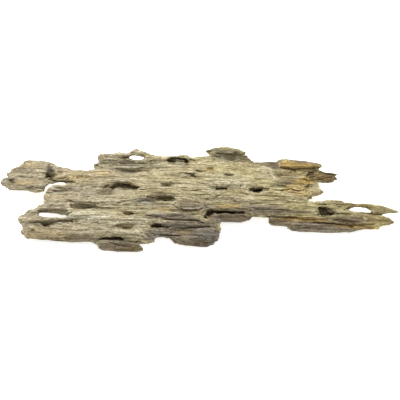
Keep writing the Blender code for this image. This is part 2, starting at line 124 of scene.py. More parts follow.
# Wear: the size of its lumps along the grain, across it and through its layers, and a seed for each.
Lumps = namedtuple("Lumps", "along across deep seed")
RIM_WANDER = Lumps(7.0, 2.4, 1.0, 3.0)
LINE_WAVES = Lumps(60.0, 16.0, 16.0, 2.0)
LAYER_WAVES = Lumps(50.0, 14.0, 14.0, 5.0)
PLATES = Lumps(90.0, 5.0, 9.0, 11.0)
STRANDS = Lumps(100.0, 2.0, 2.6, 17.0)
THREADS = Lumps(28.0, 1.1, 1.4, 23.0)
CRUMBS = Lumps(3.4, 1.5, 1.8, 31.0)
ROUGH_PARTS = Lumps(30.0, 12.0, 12.0, 37.0)
STRAY = Lumps(16.0, 3.0, 3.0, 41.0)
STRAY_SHARE = 0.35
LINE_WAVE_HEIGHT, LAYER_WAVE_HEIGHT = 1.1, 1.2
PLATE_HEIGHT, PLATE_STEPS, PLATE_EDGE = 1.5, 4.0, 0.12
STRAND_HEIGHT, THREAD_HEIGHT = 1.8, 1.3
FIBRE_SINK = 0.75  # brings the mean of strands and threads back to the surface
FIBRE_FACE, FIBRE_END = 0.95, 0.4
CRUMB_HEIGHT, CRUMB_FACE, CRUMB_ROUGH = 0.5, 0.35, 0.6
ROUGH_SHARE = 0.35  # raises the share of the slab that is crumbly
CALMED = 0.8  # the share of the wear that a worn smooth place has lost
RESTING_HEIGHT = 2.0  # below this the wear fades out, so the slab rests as before
STURDY, STURDY_FALL, LEAST_STURDY = 1.15, 1.2, 0.3
MOUTH_REACH, MOUTH_RUN = 1.3, 2.2
MOUTH_PUSH, MOUTH_SPREAD = 1.3, 2.5
LENS_EDGE, FLAKE_EDGE = 0.45, 0.14

# The finish: noise drawn out along the grain, and how dark each kind makes the wood at its low end, how much
# lighter it grows and between which values.
Weave = namedtuple("Weave", "along across detail roughness")
BROAD = Weave(60.0, 14.0, 2.0, 0.55)
BANDS = Weave(70.0, 3.4, 2.0, 0.6)
LINES = Weave(22.0, 1.6, 4.0, 0.75)
HAIRS = Weave(6.0, 0.7, 2.0, 0.6)
SPECKS = Weave(2.6, 1.6, 3.0, 0.6)
FLECKS = Weave(2.6, 0.95, 2.0, 0.6)
CREASES = Weave(34.0, 2.0, 3.0, 0.6)
Shade = namedtuple("Shade", "dark gain low high")
BAND_SHADE = Shade(0.80, 0.26, 0.36, 0.62)
LINE_SHADE = Shade(0.68, 0.42, 0.34, 0.60)
HAIR_SHADE = Shade(0.78, 0.32, 0.34, 0.62)
SPECK_SHADE = Shade(0.62, 0.38, 0.28, 0.42)
GROOVE_SHADE = Shade(0.50, 0.57, -0.74, -0.1)
FLECK_SHADE = Shade(0.72, 0.50, 0.36, 0.62)
CREASE_SHADE = Shade(0.66, 0.38, 0.0, 0.05)
# Painted shade: hollows made darker by how far they sink below what lies round them.
CAVITY_PAINTED_SHADE = Shade(0.20, 0.80, -4.6, -0.9)
CRACK_PAINTED_SHADE = 0.86  # how much of the light the painted shade in a crack takes
RIM_SHADE = 1.1
RED_POWER, BLUE_POWER = 0.92, 1.2
TAN, STRAW = (0.44, 0.385, 0.265, 1), (0.455, 0.395, 0.20, 1)
FRESH_WOOD = (0.60, 0.56, 0.44, 1)
TAN_WANDER = 0.8
WOOD_ROUGHNESS, WOOD_GLOSS = 0.85, 0.25
BUMP_STRENGTH, BUMP_HEIGHT = 0.6, 0.8
LINE_BUMP, HAIR_BUMP, SPECK_BUMP = 0.5, 0.25, 0.25

Gallery = namedtuple("Gallery", "across up half_length reach half_height dip away")
Dent = namedtuple("Dent", "across up half_length half_width depth fade_across fade_up")
Cut = namedtuple("Cut", "outline depth fade_across fade_up run", defaults=(RIM_RUN,))
Crack = namedtuple("Crack", "route half_width depth dark")
Rim = namedtuple("Rim", "route half_width strength")
Flake = namedtuple("Flake", "across up half_length half_width height")
Stain = namedtuple("Stain", "across up half_length half_width strength")
Tint = namedtuple("Tint", "name stains strength colour")


def each(kind, *rows):
    """One item of this kind for each row of values."""
    return [kind(*row) for row in rows]


# Dark galleries that run in under their far rim: where the mouth is, half its length, how far it reaches in,
# half its height, how steeply it dips (degrees) and how far its middle lies behind the mouth.
GALLERIES = each(Gallery,
    (-75, 23.4, 12, 3.6, 1.1, 14, 2),
    (-88.2, -30.8, 11.6, 5, 1.1, 14, 3),
    (26, -3.8, 19, 8, 1.7, 10, 5),
    (7.4, -5.4, 2, 5, 3, 20, 2.2),
    (-42.8, -17.9, 4.4, 5, 1.4, 20, 2.4),
    (56.4, 17.8, 3.8, 5, 1.5, 30, 1),
    (131.4, -6.2, 3, 4.6, 1.4, 14, 1.8),
    (121.4, -0.2, 3, 4.6, 0.9, 14, 1.8),
    (-28.6, 47.6, 3, 4, 1.3, 34, 1),
    (-13.8, 46, 1.8, 4, 1.7, 34, 0.8),
)

# Openings and notches right through the slab, as outlines of what is seen through them.
WINDOWS = [
    [(-70.4, 50.2), (-67, 51.8), (-63, 52.2), (-59, 51.2), (-57, 49.9), (-59.6, 48.9), (-64.3, 48.6),
     (-68.4, 49.2)],
    [(-161, -5), (-156.7, -4.6), (-146, -6.1), (-131.8, -7), (-131, -8.4), (-134.6, -9.6), (-146, -9.9),
     (-153.4, -8.9), (-159.6, -7.2)],
    [(147, -1.8), (150, 0.8), (155, 1.8), (161, 1.4), (166, 0), (171, -3.4), (170.2, -5.7), (158, -5.2),
     (151, -4.4), (147.6, -3.2)],
    [(-159.4, 12.8), (-158.8, 16.2), (-154.3, 21.6), (-149.2, 25), (-141, 25.8), (-133.4, 25.2),
     (-129.6, 22.5), (-134, 22.6), (-141, 22.8), (-146.4, 22.1), (-150.6, 19.2), (-156.2, 13.4)],
    [(133.6, 31.4), (136.2, 32.6), (142, 33), (142, 30), (136.4, 30.2)],
    [(110.6, 11.6), (117.4, 12.8), (126, 14.4), (126, 10.4), (114.4, 10.8)],
    [(107, 7.6), (112.8, 9.2), (126, 10), (143, 12), (143, 8), (126, 7.4), (118, 6.2), (109.6, 5.6)],
    [(143.4, 12), (144, 5.2), (152, 5), (166, 4.7), (180, 2.8), (192, -1.6), (202, -4.6), (202, 18)],
    [(180.6, -6.6), (183, -8.8), (188, -10), (191, -10.8), (195, -13.8), (202, -14), (202, -5.6),
     (194, -5.7)],
    [(168, -22), (176, -21.2), (180, -19), (182.6, -18), (188, -17.6), (195, -15.6), (195, -32),
     (168, -32)],
    [(-177, -30.4), (-155, -31.6), (-140, -33), (-130, -33.8), (-110, -33.5), (-102.6, -35.2),
     (-102, -42), (-177, -42)],
    [(-197, 31.6), (-193, 29.4), (-191.6, 30.8), (-193.4, 32.4), (-197, 34)],
    [(-193, 36.4), (-189.4, 35), (-188, 36.4), (-190.4, 37.6), (-193, 40)],
    [(-144, 41.8), (-138, 40.2), (-129, 38.2), (-129, 48), (-144, 48)],
    [(-180, -20.4), (-176.6, -21), (-178.4, -22.4), (-181, -22)],
    [(-179, -25.8), (-173.6, -27), (-175.6, -28.2), (-179, -28.4)],
]

# Sunken places with a crisp rim, as lenses along the grain. A fade of 1 lets the depth run out to nothing
# towards that side, so the floor slopes up to it. A negative depth stands up instead.
DENTS = each(Dent,
    (-84.4, 21, 4.6, 2.4, 5, 0, 0), (-188, 26.5, 4.4, 2.2, 2.4, 0, 0),
    (-74.5, -18.7, 9.8, 2.5, 1.2, 0, -0.3), (-72.4, -5.5, 5.6, 1.8, 3, -0.8, 0),
    (-68, 44.4, 28, 2.7, 1.6, 0, 0), (-28.4, 47.6, 4.4, 2.4, 5, 0, 0), (-7.5, 47.4, 3.6, 1.1, 2, 0, 0),
    (10.6, 39, 4.2, 1.4, 1.8, 0, 0), (-33.8, 24.6, 6.6, 3.4, 3.4, 0, 1),
    (28.6, 32.6, 6.6, 2.3, 1.3, 0, 0.3), (21, 19.6, 8.6, 2.2, 1.4, 0, 0),
    (21.6, 19.7, 5.8, 1.3, 2.6, 0, 0), (60.2, 18.1, 9.8, 2.2, 2.6, 0, 0),
    (79.2, 20.8, 9.2, 1.8, 2.2, 0, 0), (146, -2, 3.4, 1.6, 3.6, 0, 0), (-50, 6.8, 12, 2.2, 1.6, 0, -0.5),
    (90, 16, 14, 2.6, 1, 0, 0), (-4, 37, 9, 2, 1.2, 0, 0.3), (-112, 12, 16, 1.6, 1, 0, 0),
    (-132, 20.4, 16, 2, 0.9, 0, 0), (5, -32, 16, 3.6, 1.6, 0, 0), (-20, -24, 12, 2.6, 1.4, 0, 0),
    (149, -12, 16, 4, -1.4, 0, 0), (101, 43, 20, 3.2, -1.2, 0, 0),
)

# The same for places with an outline of their own. A last value, where there is one, is the length over
# which the rim falls to its full depth.
CUTS = each(Cut,
    ([(-9.8, 32.6), (-8.4, 34.4), (-5.2, 33.8), (-3.4, 31.6), (-5.8, 30.4), (-8.4, 31)], 3.4, 0, 0),
    ([(-14.8, 33.6), (-13, 35.1), (-9.6, 34.8), (-10, 32.8), (-12.6, 32)], 2.6, 0, 0),
    ([(-28.5, 8.5), (-25, 10.6), (-18, 11.4), (-10, 10.4), (3, 9), (6, 5), (3.4, 1.6), (-2, -0.4),
     (-10, -2.2), (-17, -1.4), (-23, 0.4), (-26, 4.4)], -1.9, 0, 0.4),
    ([(-153, 43.4), (-143, 41.8), (-128, 38.2), (-116, 36.7), (-116, 29), (-130, 26.5), (-144, 27.5),
     (-152, 30)], -7, 0, -0.8, 4),
    ([(-150, 50), (-151.6, 41), (-152.6, 38), (-153.8, 34), (-154.6, 30.4), (-150, 28.8), (-138, 28),
     (-120, 28), (-120, 48)], 3, 1, 0),
    ([(-88.8, 19.2), (-87.7, 22.8), (-84, 24.8), (-79, 25.3), (-73, 24.7), (-67, 22.8), (-62.6, 20.8),
     (-61.6, 17.5), (-68, 12.5), (-82, 11.5), (-89.5, 16)], 5.6, 0, -1),
    ([(-98.5, 18.4), (-96, 21), (-93, 22.8), (-88, 23.8), (-88, 17), (-95, 16)], 2.4, 0, -1),
    ([(-129, 3.6), (-125, 4.6), (-116, 3), (-103, 1.2), (-102.8, -1), (-112, -1.4), (-126, -1.5),
     (-128.8, -1)], 2.2, 0, 0.3),
    ([(-161.6, -4.4), (-159, -1.6), (-148, -1.2), (-134, -1.9), (-132, -6.4), (-148, -5.8),
     (-159, -5)], 2.6, 0, 0),
    ([(-159, -14.6), (-142.4, -13.3), (-143, -17.2), (-152, -18.4), (-156.4, -18)], 3.6, 0, 0),
    ([(-100.6, -32), (-99.2, -30), (-94, -29.2), (-80, -28.8), (-75.6, -31.4), (-82, -32.2)], 4, 0, 0),
    ([(-88, 41), (-80, 40), (-67, 38), (-59.6, 35.4), (-67, 34.1), (-78, 34.8),
     (-86, 37.6)], 2.1, 0, -0.3),
    ([(-16.4, 49.4), (-12, 47.6), (-11.2, 44.6), (-13, 43.3), (-15.4, 44.4), (-16.6, 47.2)], 5, 0, 0),
    ([(4.4, -10.4), (5.8, -5.4), (8, -3), (12, -1.9), (25, -2.3), (40, -3.6), (45, -5.6), (36, -6.8),
     (22, -6.6), (13, -7.4), (9, -10), (6, -13)], 6, 0, -0.4),
    ([(-43, 10), (-27, 10.7), (-28, 8), (-32, 5.7), (-40, 6.3)], 2.8, 0, 0),
    ([(-48.2, -19.2), (-46.2, -16.8), (-42, -15.5), (-37.6, -16.4), (-31.6, -19), (-38, -20.3),
     (-45, -20.3)], 5, 0, 0),
    ([(104.3, 18.5), (105.3, 22), (108.6, 24.2), (114, 25), (118.4, 24), (121, 17), (118, 13),
     (110, 12.4), (105, 14.6)], 3.8, 0.9, 0),
    ([(107.8, 33), (109.6, 36), (116, 36.8), (124, 35), (133, 30.6), (126, 28.2), (114, 28),
     (109.6, 30)], 3, 0.7, 0),
    ([(118, 1.4), (125.4, 0.8), (128, -2.4), (135.4, -5), (134.8, -8.2), (118.4, -8.7),
     (117.7, -4)], 5, 0, -0.2),
    ([(9, 54.6), (25, 54.6), (33, 53.4), (46, 54), (51, 49.2), (54, 46.4), (40, 47.4), (30, 45.6),
     (22, 47), (17.5, 49.4), (10.5, 50.2)], 2.2, 0, -0.5),
)

# Cracks between the fibres and the dark lines under rims: their routes, half their width, how deep they
# are and how dark each is painted, as painted shade down in the crack and under its rim.
CRACKS = each(Crack,
    ([(-151.8, 40.2), (-150.6, 38.6), (-148.6, 37.2)], 1.6, 1, 0.5),
    ([(-153.6, 30.6), (-151.4, 31.4), (-149, 29.4)], 1.5, 2.5, 1),
    ([(-152.6, 35), (-153, 32)], 1, 1.5, 0.7),
    ([(-150, 28.4), (-144, 26.6), (-137, 26), (-130, 26), (-125, 25)], 0.9, 1.8, 0.5),
    ([(-180, 30.6), (-164, 29.4), (-154, 28.8)], 0.6, 0.6, 0.2), ([(-190, 27), (-186, 25.6)], 1.4, 1, 0.6),
    ([(-87.4, 20.4), (-85, 22.4), (-80, 23.2), (-74, 22.8), (-68.4, 21.4), (-63.4, 19.8)], 2.5, 2.4, 0.85),
    ([(-97, 19.2), (-94, 22), (-88.6, 23.4)], 0.9, 1.2, 0.5),
    ([(-132, 7.6), (-124, 5.2), (-116, 3.4), (-108, 2), (-101, 0.4)], 0.9, 1.8, 0.25),
    ([(-128.8, 3.4), (-128.4, -0.6), (-123, -1.4), (-115, -1.4)], 0.7, 1.4, 0.6),
    ([(-111.5, 0.8), (-103, 0)], 1.1, 1.6, 0.45),
    ([(-160.6, -4.2), (-158, -2.6), (-152, -2.2)], 1.3, 1.5, 0.5),
    ([(-158, -2), (-146, -1.8), (-133, -2.4)], 0.8, 1, 0.4),
    ([(-169, -14.6), (-160, -14.4), (-150, -13.6), (-142, -12.8), (-134, -12.5),
     (-127.6, -12.9)], 0.9, 2, 0.5),
    ([(-158, -15.4), (-150, -15.2), (-143, -14.4)], 1.4, 1, 0.35),
    ([(-155.6, -17.4), (-151, -17.4)], 1, 2, 1), ([(-77.5, 50.6), (-73, 50.8), (-69, 49.4)], 1, 2.4, 0.6),
    ([(-30, 49.3), (-23, 49.4), (-15, 48.4)], 0.9, 3, 0.95), ([(-31, 47.4), (-26, 47.2)], 2.2, 2.5, 0.9),
    ([(-14, 46.8), (-13, 45)], 1.8, 2.5, 0.95), ([(-22, 34.2), (-16, 34.9), (-9.6, 34.3)], 0.7, 1.4, 0.45),
    ([(-15.4, 31.8), (-13.4, 31.6)], 0.6, 1.2, 0.6),
    ([(-9, 32.8), (-6.4, 32.8), (-4.2, 31)], 0.9, 1.8, 0.7), ([(-10, 47.6), (-5, 47.2)], 1, 1, 0.6),
    ([(8, 39.2), (13, 38.4)], 1.1, 1, 0.6), ([(-38, 21.9), (-34, 21.4), (-28.4, 21.6)], 1, 1.2, 0.6),
    ([(-37.4, 22.8), (-30, 22.6)], 1.4, 0.4, 0.35), ([(25, 32.6), (32, 32.4)], 1.9, 0.4, 0.3),
    ([(16.6, 19.4), (21, 19.8), (26.4, 19.8)], 1.1, 2, 0.95),
    ([(51, 18), (56.4, 17.6), (60, 17.8)], 1.9, 2.5, 0.95), ([(60, 18.6), (68.6, 17.8)], 1.3, 1.2, 0.5),
    ([(71, 21.4), (79, 20.8), (87.6, 20.4)], 1.3, 1.2, 0.6), ([(75.4, 21), (80, 20.8)], 0.9, 1.2, 0.9),
    ([(-52, 10.8), (-48, 9.8), (-42, 10.4), (-36, 10.4), (-29, 10.4), (-26, 9.2)], 1.1, 2, 0.75),
    ([(-57, 7.4), (-50, 7.4), (-43, 7.6)], 1.6, 0.8, 0.4), ([(-36, 7.4), (-32.4, 7.2)], 1, 1.6, 0.9),
    ([(-41, 9), (-30, 9.2)], 1.2, 0.4, 0.25), ([(-82, 5), (-70, 7.6), (-64, 8)], 0.8, 1, 0.35),
    ([(-53, -7), (-45, -8.4), (-34, -10)], 0.6, 1.4, 0.5),
    ([(-34, -11.2), (-28, -11.9), (-20, -12.5), (-10, -12.3), (-2, -12.4)], 0.6, 2, 0.8),
    ([(-2.6, -13.4), (3, -15)], 0.8, 2, 0.9),
    ([(-20, -0.9), (-14, -2.4), (-6, -2.4), (1.6, -1.2)], 0.8, 2.4, 0.65),
    ([(-27.4, 3.4), (-24, 1), (-20, -1)], 0.6, 1.4, 0.45),
    ([(5.4, -9.6), (6.8, -5.6), (9.4, -3.2)], 1.4, 3, 0.95),
    ([(8.6, -3.6), (13, -3.2), (25, -3.5), (36, -4.3), (42.6, -4.8)], 1.9, 3, 1),
    ([(36, -6), (44, -7.6), (50, -10)], 1, 1.2, 0.45),
    ([(-47.2, -18.2), (-44, -17), (-40, -17.4)], 1.9, 3, 1),
    ([(-40, -18), (-36, -18.8), (-32, -19.8)], 0.9, 1.6, 0.9),
    ([(-99, -31.2), (-97, -30.4), (-92, -30.6), (-80, -30), (-77, -31.2)], 1.3, 3, 1),
    ([(-83.4, -18), (-81, -17.2), (-78, -17)], 1, 1, 0.4),
    ([(-83, -18.8), (-80, -20.6), (-67, -20.4)], 0.7, 1, 0.3),
    ([(-76, -19.9), (-72, -19.9)], 0.7, 1.2, 0.8), ([(-77, -4.6), (-73, -6), (-70, -6.6)], 0.9, 1.2, 0.5),
    ([(-69.4, -5.4), (-67.6, -5.4)], 1, 2, 1), ([(-40, -26.6), (-28, -27), (-19, -27.8)], 0.8, 2, 0.7),
    ([(-30, -21.2), (-16, -20.2), (-4, -19.2), (10, -18.4)], 0.7, 1.6, 0.5),
    ([(-18, -20.4), (-15, -20.6)], 0.8, 1.2, 0.9), ([(72, 18.2), (80, 17.2), (90, 18.2)], 0.6, 1.4, 0.5),
    ([(90, 18.6), (97, 16.8), (104, 17.6)], 0.7, 1.6, 0.55), ([(91, 15), (101, 13.8)], 0.6, 1.2, 0.4),
    ([(88, 30), (94, 29.1), (102, 28.6), (110, 28), (116, 26.8)], 0.7, 1.4, 0.45),
    ([(105.2, 18.6), (106.2, 21.6), (109, 23.6)], 0.8, 0.8, 0.35),
    ([(80.6, 40.4), (88, 39.2), (94, 38), (96.2, 35.6)], 1.1, 2.2, 0.75),
    ([(96, 39), (108, 39.4), (118.4, 40.2)], 0.9, 1.8, 0.6),
    ([(108.2, 32.6), (109.4, 35.4), (113, 36.4)], 1, 1.4, 0.7),
    ([(110, 30.2), (116, 28.4), (124, 28.6)], 0.8, 1, 0.6),
    ([(121, 35.8), (128, 34.2), (137.5, 33.8)], 1.2, 1, 0.75),
    ([(108.4, 38.6), (113, 38), (118, 37)], 1.1, 0.8, 0.6),
    ([(126, 0.4), (131, -2.4), (135, -4.4)], 1, 1.2, 0.55),
    ([(67, -8.2), (75, -9), (85, -9), (97, -9.8)], 0.8, 2, 0.65),
    ([(99, -11.2), (110, -12.4), (122, -13), (131, -13.6)], 0.7, 1, 0.3),
    ([(113, -14.4), (122, -14.8), (133, -15.6), (145, -16.8), (158, -17)], 0.9, 1.8, 0.6),
    ([(158, -16.4), (174, -16.2)], 0.8, 1.8, 0.5), ([(161, -5.9), (170, -6.7), (181, -7.2)], 0.8, 2, 0.8),
    ([(168.8, -2.4), (172, -5.4)], 0.8, 2, 0.8),
    ([(144, -2), (148, -0.4), (155, 1.2), (163, 0.4), (169, -2.2)], 0.8, 1, 0.55),
    ([(118, 2.8), (125.6, 3.6)], 0.8, 1.6, 0.6), ([(119, -0.2), (125, -0.4)], 1.4, 2, 0.95),
    ([(118.6, -1), (118.8, -8)], 0.9, 1, 0.7), ([(121, -8), (129, -8), (134.6, -7)], 0.9, 1.5, 0.9),
    ([(128, -4.4), (133.6, -6.4)], 1.6, 2, 0.95),
    ([(-103.2, 42.6), (-99, 40.6), (-95.6, 39.8)], 1, 2, 0.7),
    ([(-60, 17.6), (-48, 18.8), (-38, 18), (-24, 17.8)], 0.7, 1.4, 0.45),
    ([(-18, 17.4), (-10, 16.8), (1, 17.8)], 0.7, 1.4, 0.55),
    ([(50, 4.4), (68, 3.4), (86, 2.6)], 0.7, 1.4, 0.3),
    ([(55, -0.4), (72, -1.4), (90, -2.4)], 0.7, 1.2, 0.2),
    ([(15, 10.6), (26, 16.2), (42, 15.6), (48, 13.8)], 0.7, 1.2, 0.4),
    ([(-4, 37.6), (0, 36.2), (6, 36.6)], 0.7, 1.4, 0.5),
    ([(-80, -32.4), (-68, -33.6), (-59, -33.4)], 0.7, 1.6, 0.6),
    ([(-176, -31), (-155, -31.6), (-136, -32.6)], 0.6, 1.4, 0.6),
    ([(-168, 21.4), (-156, 19)], 0.6, 1.2, 0.5), ([(-167, -22), (-164.6, -22.4)], 0.9, 1.2, 0.7),
    ([(13, 54.8), (25, 54.3), (33, 53.2), (46, 54)], 0.8, 1.6, 0.5),
    ([(17, 51), (19.6, 50.8)], 0.9, 1.4, 0.85), ([(33.4, 7.4), (36, 6.6)], 0.9, 1.4, 0.8),
    ([(40.8, 23.2), (40.8, 21.6)], 0.8, 1.4, 0.8), ([(44.5, 38.4), (44.5, 37.4)], 0.6, 1, 0.6),
    ([(-92, -33.6), (-76, -38.4), (-62, -39.4)], 0.7, 1.2, 0.3),
    ([(-96, 47.8), (-88, 47.6), (-72, 47.2)], 0.7, 1, 0.25),
    ([(-87, 40), (-78, 38.8), (-66, 37.6), (-60, 36.2)], 0.8, 0.6, 0.2),
    ([(-80, 44.6), (-50, 44.2), (-42, 45)], 0.8, 1.2, 0.2),
    ([(-50, 47), (-42, 47.8), (-34, 46.6)], 0.7, 1.2, 0.4),
)

# The same without depth: painted shade along the low edges and in the hollows.
PAINTED_SHADE_LINES = each(Crack,
    ([(-158, -29.5), (-140, -29.8), (-115, -31.5), (-92, -34)], 4, 0, 0.22),
    ([(-98, -39), (-80, -40.5), (-60, -41.5)], 4.5, 0, 0.2),
    ([(-20, -35), (-8, -38), (3, -36)], 6, 0, 0.32), ([(4, -8), (25, -7.4), (56, -8.6)], 3, 0, 0.22),
    ([(118, -3), (126, -6), (135, -8.5)], 4.5, 0, 0.32), ([(122, -14), (136, -16), (152, -18)], 3, 0, 0.3),
    ([(42, 47.5), (62, 46), (76, 46.5)], 4, 0, 0.2),
    ([(-102, 15.5), (-94, 16.5), (-88, 18)], 3.6, 0, 0.25),
    ([(162, -0.5), (172, -2), (184, -3)], 3, 0, 0.25), ([(81, 27), (92, 26.4), (102, 25)], 4.5, 0, 0.22),
    ([(-58, 47.5), (-50, 47), (-40, 46.5)], 3, 0, 0.2),
)

# Thin layers of wood that stand up from the rest and end in a crisp edge.
FLAKES = each(Flake,
    (-108, 9.5, 17, 4, 1), (-92, 4, 15, 4, 1), (-100, -24.5, 38, 7, 1.2), (-150, 20.5, 20, 4, 0.8),
    (-60, 27.5, 26, 3.4, 0.8), (52, 33, 22, 4, 0.8), (70, 1, 36, 4.6, 0.9), (20, 26, 26, 3.2, 0.7),
    (-60, -12.5, 24, 3.6, 0.8), (-18, -15.5, 22, 3.4, 0.9), (120, -20.5, 36, 4.4, 0.8),
    (-6, -31, 18, 3.6, 0.8), (88, 14, 18, 3.4, 0.7), (148, -10.8, 17, 4.2, 1.2),
)

# Where the wood has taken another colour. Some patches are painted light and shade as well: paler ones
# lighten places that the lamps leave shaded, and darker grey, green, slate and brown ones paint the shade
# under rims, in hollows and on faces turned from the light.
GREY = each(Stain,
    (-10, -25, 44, 22, 1), (-30, -8, 31, 5, 0.9), (-11, 3.4, 17.5, 7, 0.8), (64, -2.6, 52, 6, 0.85),
    (31, -10.6, 32, 9, 1), (124, -21, 58, 9, 1), (82, -13.5, 21, 8, 1), (149, -12, 17, 5, 1),
    (-39, 10.6, 18, 5, 0.7), (-128, 19, 28, 3.6, 0.6), (-78, -39, 30, 9, 1), (76, 44, 10, 7, 1),
    (-45, 4, 17, 4, 0.4), (103, 47.2, 20, 2.2, 1), (-190, 26.5, 8, 4, 0.5), (-116, -29, 22, 7, 0.6),
    (0, -33, 30, 12, 1), (-45, -28, 15, 8, 0.9), (30, 7.4, 36, 4.6, 0.4), (7, 1, 12, 5, 0.8),
    (-150, -31.6, 50, 3.4, 0.5), (62, 46, 22, 2.6, 0.8), (148, -8, 34, 5, 0.3),
    (-55.5, 7.6, 11, 3.4, 0.85), (-92, 41, 10, 3, 0.35), (-186, 30, 8, 3, 0.4), (-112, 16, 50, 5, 0.3),
    (-148, 9, 12, 4, 0.3), (25, -4, 26, 3.4, 0.6), (83, 30, 14, 6, 0.25), (184, -2, 18, 4, 0.2),
    (38, 7, 22, 3, 0.3), (-40, 9, 14, 3, 0.5), (88, 30, 16, 7, 0.35),
)

GREEN = each(Stain,
    (-68, 45.6, 40, 6, 0.5), (-72, 37.4, 17, 4.8, 0.5), (29, 50.4, 27, 6.4, 0.55), (-22, 47, 15, 5.4, 0.6),
    (-114, 1.4, 14, 3.4, 0.5), (-146, -3.6, 17, 3.4, 0.25), (127, -3.6, 11, 6, 0.7),
    (-10, 31.5, 7, 2.6, 0.4), (-155, -15, 20, 3.2, 0.4), (111, 21.6, 7, 3, 0.6), (88, 35.6, 20, 7, 0.55),
    (180, -6.5, 14, 2, 0.4), (62, 18.2, 9, 2.4, 0.5), (82, 23, 16, 4.4, 0.5), (-54, 7, 14, 3.4, 0.5),
    (-93.6, 19.6, 7.5, 3, 0.6), (-18, 33, 20, 3.2, 0.4), (20, 19.4, 9, 2.8, 0.5), (107, 20, 4, 4, 0.3),
    (25, 56.6, 20, 3.4, 0.75), (-66, 42.8, 20, 2.6, 0.7), (14, 51.5, 8, 3.4, 0.6), (44, 48.6, 9, 3.4, 0.6),
    (172, -8, 14, 5, 0.3), (-50, 48, 10, 3, 0.3), (88, 28, 12, 6, 0.35), (-91, 16.5, 12, 3.6, 0.4),
    (-54, 43.6, 16, 2.6, 0.7),
)

OCHRE = each(Stain,
    (101, 43, 21.5, 5.6, 1), (104, 27, 15, 4.6, 0.95), (98, 18, 20, 8, 0.5), (98, -11, 28, 3, 0.95),
    (118, -12.6, 14, 1.9, 0.9), (150, -18.2, 20, 2, 0.8), (162, -18.6, 25, 3.6, 0.5),
    (176, -11.6, 18, 6, 0.3), (-156, -27.6, 29, 9, 0.32), (-97, 34.5, 9, 4.4, 0.5), (10, 38.4, 7, 3, 0.55),
    (-122, 32, 26, 8, 0.2), (-17.4, -23.6, 9, 3.6, 0.32), (28, 2.2, 17, 3.4, 0.5), (-37, 8.4, 8, 2.4, 0.8),
    (85, 34, 14, 5, 0.3), (-69, -40, 15, 3, 0.35), (121, 32, 13, 6, 0.6), (-5, -37, 21, 2.2, 0.3),
    (-67, 24, 10, 3, 0.2), (116, 17, 8, 6, 0.25), (160, 2, 20, 4, 0.15), (-172, 42.4, 15, 3, 0.35),
    (-175, 25.4, 14, 4.4, 0.4), (-128, 31, 20, 2.4, 0.5), (-150, 11, 20, 3, 0.25), (85, 43.6, 8, 6, 1),
    (95, 36, 15, 4, 0.4), (-35, -1, 11, 3, 0.4), (134, 28.6, 7, 2.4, 0.5), (-74, -18.6, 8, 1.8, 0.35),
    (-108, 31.5, 7, 2, 0.35), (111, 22, 6, 3, 0.2),
)

BROWN = each(Stain,
    (126, 31, 19, 8, 0.75), (-129.5, -28.4, 8, 6, 0.6), (149, -12, 16, 4.4, 0.5), (187, -13.4, 9, 4, 0.5),
    (32, -9.6, 24, 4, 0.7), (-4, -35, 20, 6, 0.3), (76, 43, 7, 6, 0.5), (-146, 36, 4, 5, 0.35),
    (73, -12.6, 9, 6, 0.6), (118, 39, 9, 2.8, 0.45), (-38, 11, 13, 1.8, 0.5), (-78, -39, 26, 7, 0.42),
    (-77, 20, 12, 2.6, 0.3), (158, -15, 12, 1.6, 0.5), (130, 33.4, 11, 2.6, 0.9), (113, 33, 7, 4, 0.6),
    (-11, 4.5, 16, 6, 0.22), (-122, -28, 20, 5, 0.45), (98, 44, 18, 4, 0.2), (102, -11.4, 24, 3, 0.4),
    (111, 21.5, 6, 3, 0.15), (-162, -8.5, 20, 3, 0.25), (29, 32.4, 7, 2.4, 0.25), (8, 56.5, 4, 2.4, 0.4),
    (130, 7, 12, 2.4, 0.25), (130, -16, 14, 3, 0.5), (100, 47, 8, 1.6, 0.5), (112, 44.8, 9, 1.6, 0.3),
    (-138, 38, 14, 3, 0.15), (-150, 22, 10, 4, 0.2), (126, -15.6, 16, 1.8, 0.6), (-130, -24, 12, 4, 0.25),
    (-166, 24, 20, 4, 0.15), (168, 1, 12, 3, 0.25), (-2, -38, 18, 2.4, 0.3), (135, -10, 20, 6, 0.38),
    (166, -7, 16, 5, 0.25), (86, -16, 12, 4, 0.5), (-10, -35, 22, 5, 0.55), (-95, 17, 9, 4, 0.4),
    (-125, -24, 14, 4, 0.22), (28, -4.6, 20, 2, 0.35), (128, -5.4, 9, 4, 0.55), (132, -14, 12, 3.4, 0.5),
    (171, 0, 10, 3.6, 0.35), (90, 28, 9, 6, 0.35), (50, 48.4, 12, 3, 0.3), (68, 45, 10, 4, 0.35),
    (-50, 48, 9, 3, 0.3), (-38, 8, 20, 3.4, 0.35), (40, 8, 18, 4, 0.3), (-130, 8, 10, 4, 0.28),
    (150, -11.6, 14, 3, 0.65), (-11, 4.2, 15, 5.6, 0.4), (90, -5, 20, 2, 0.2),
)

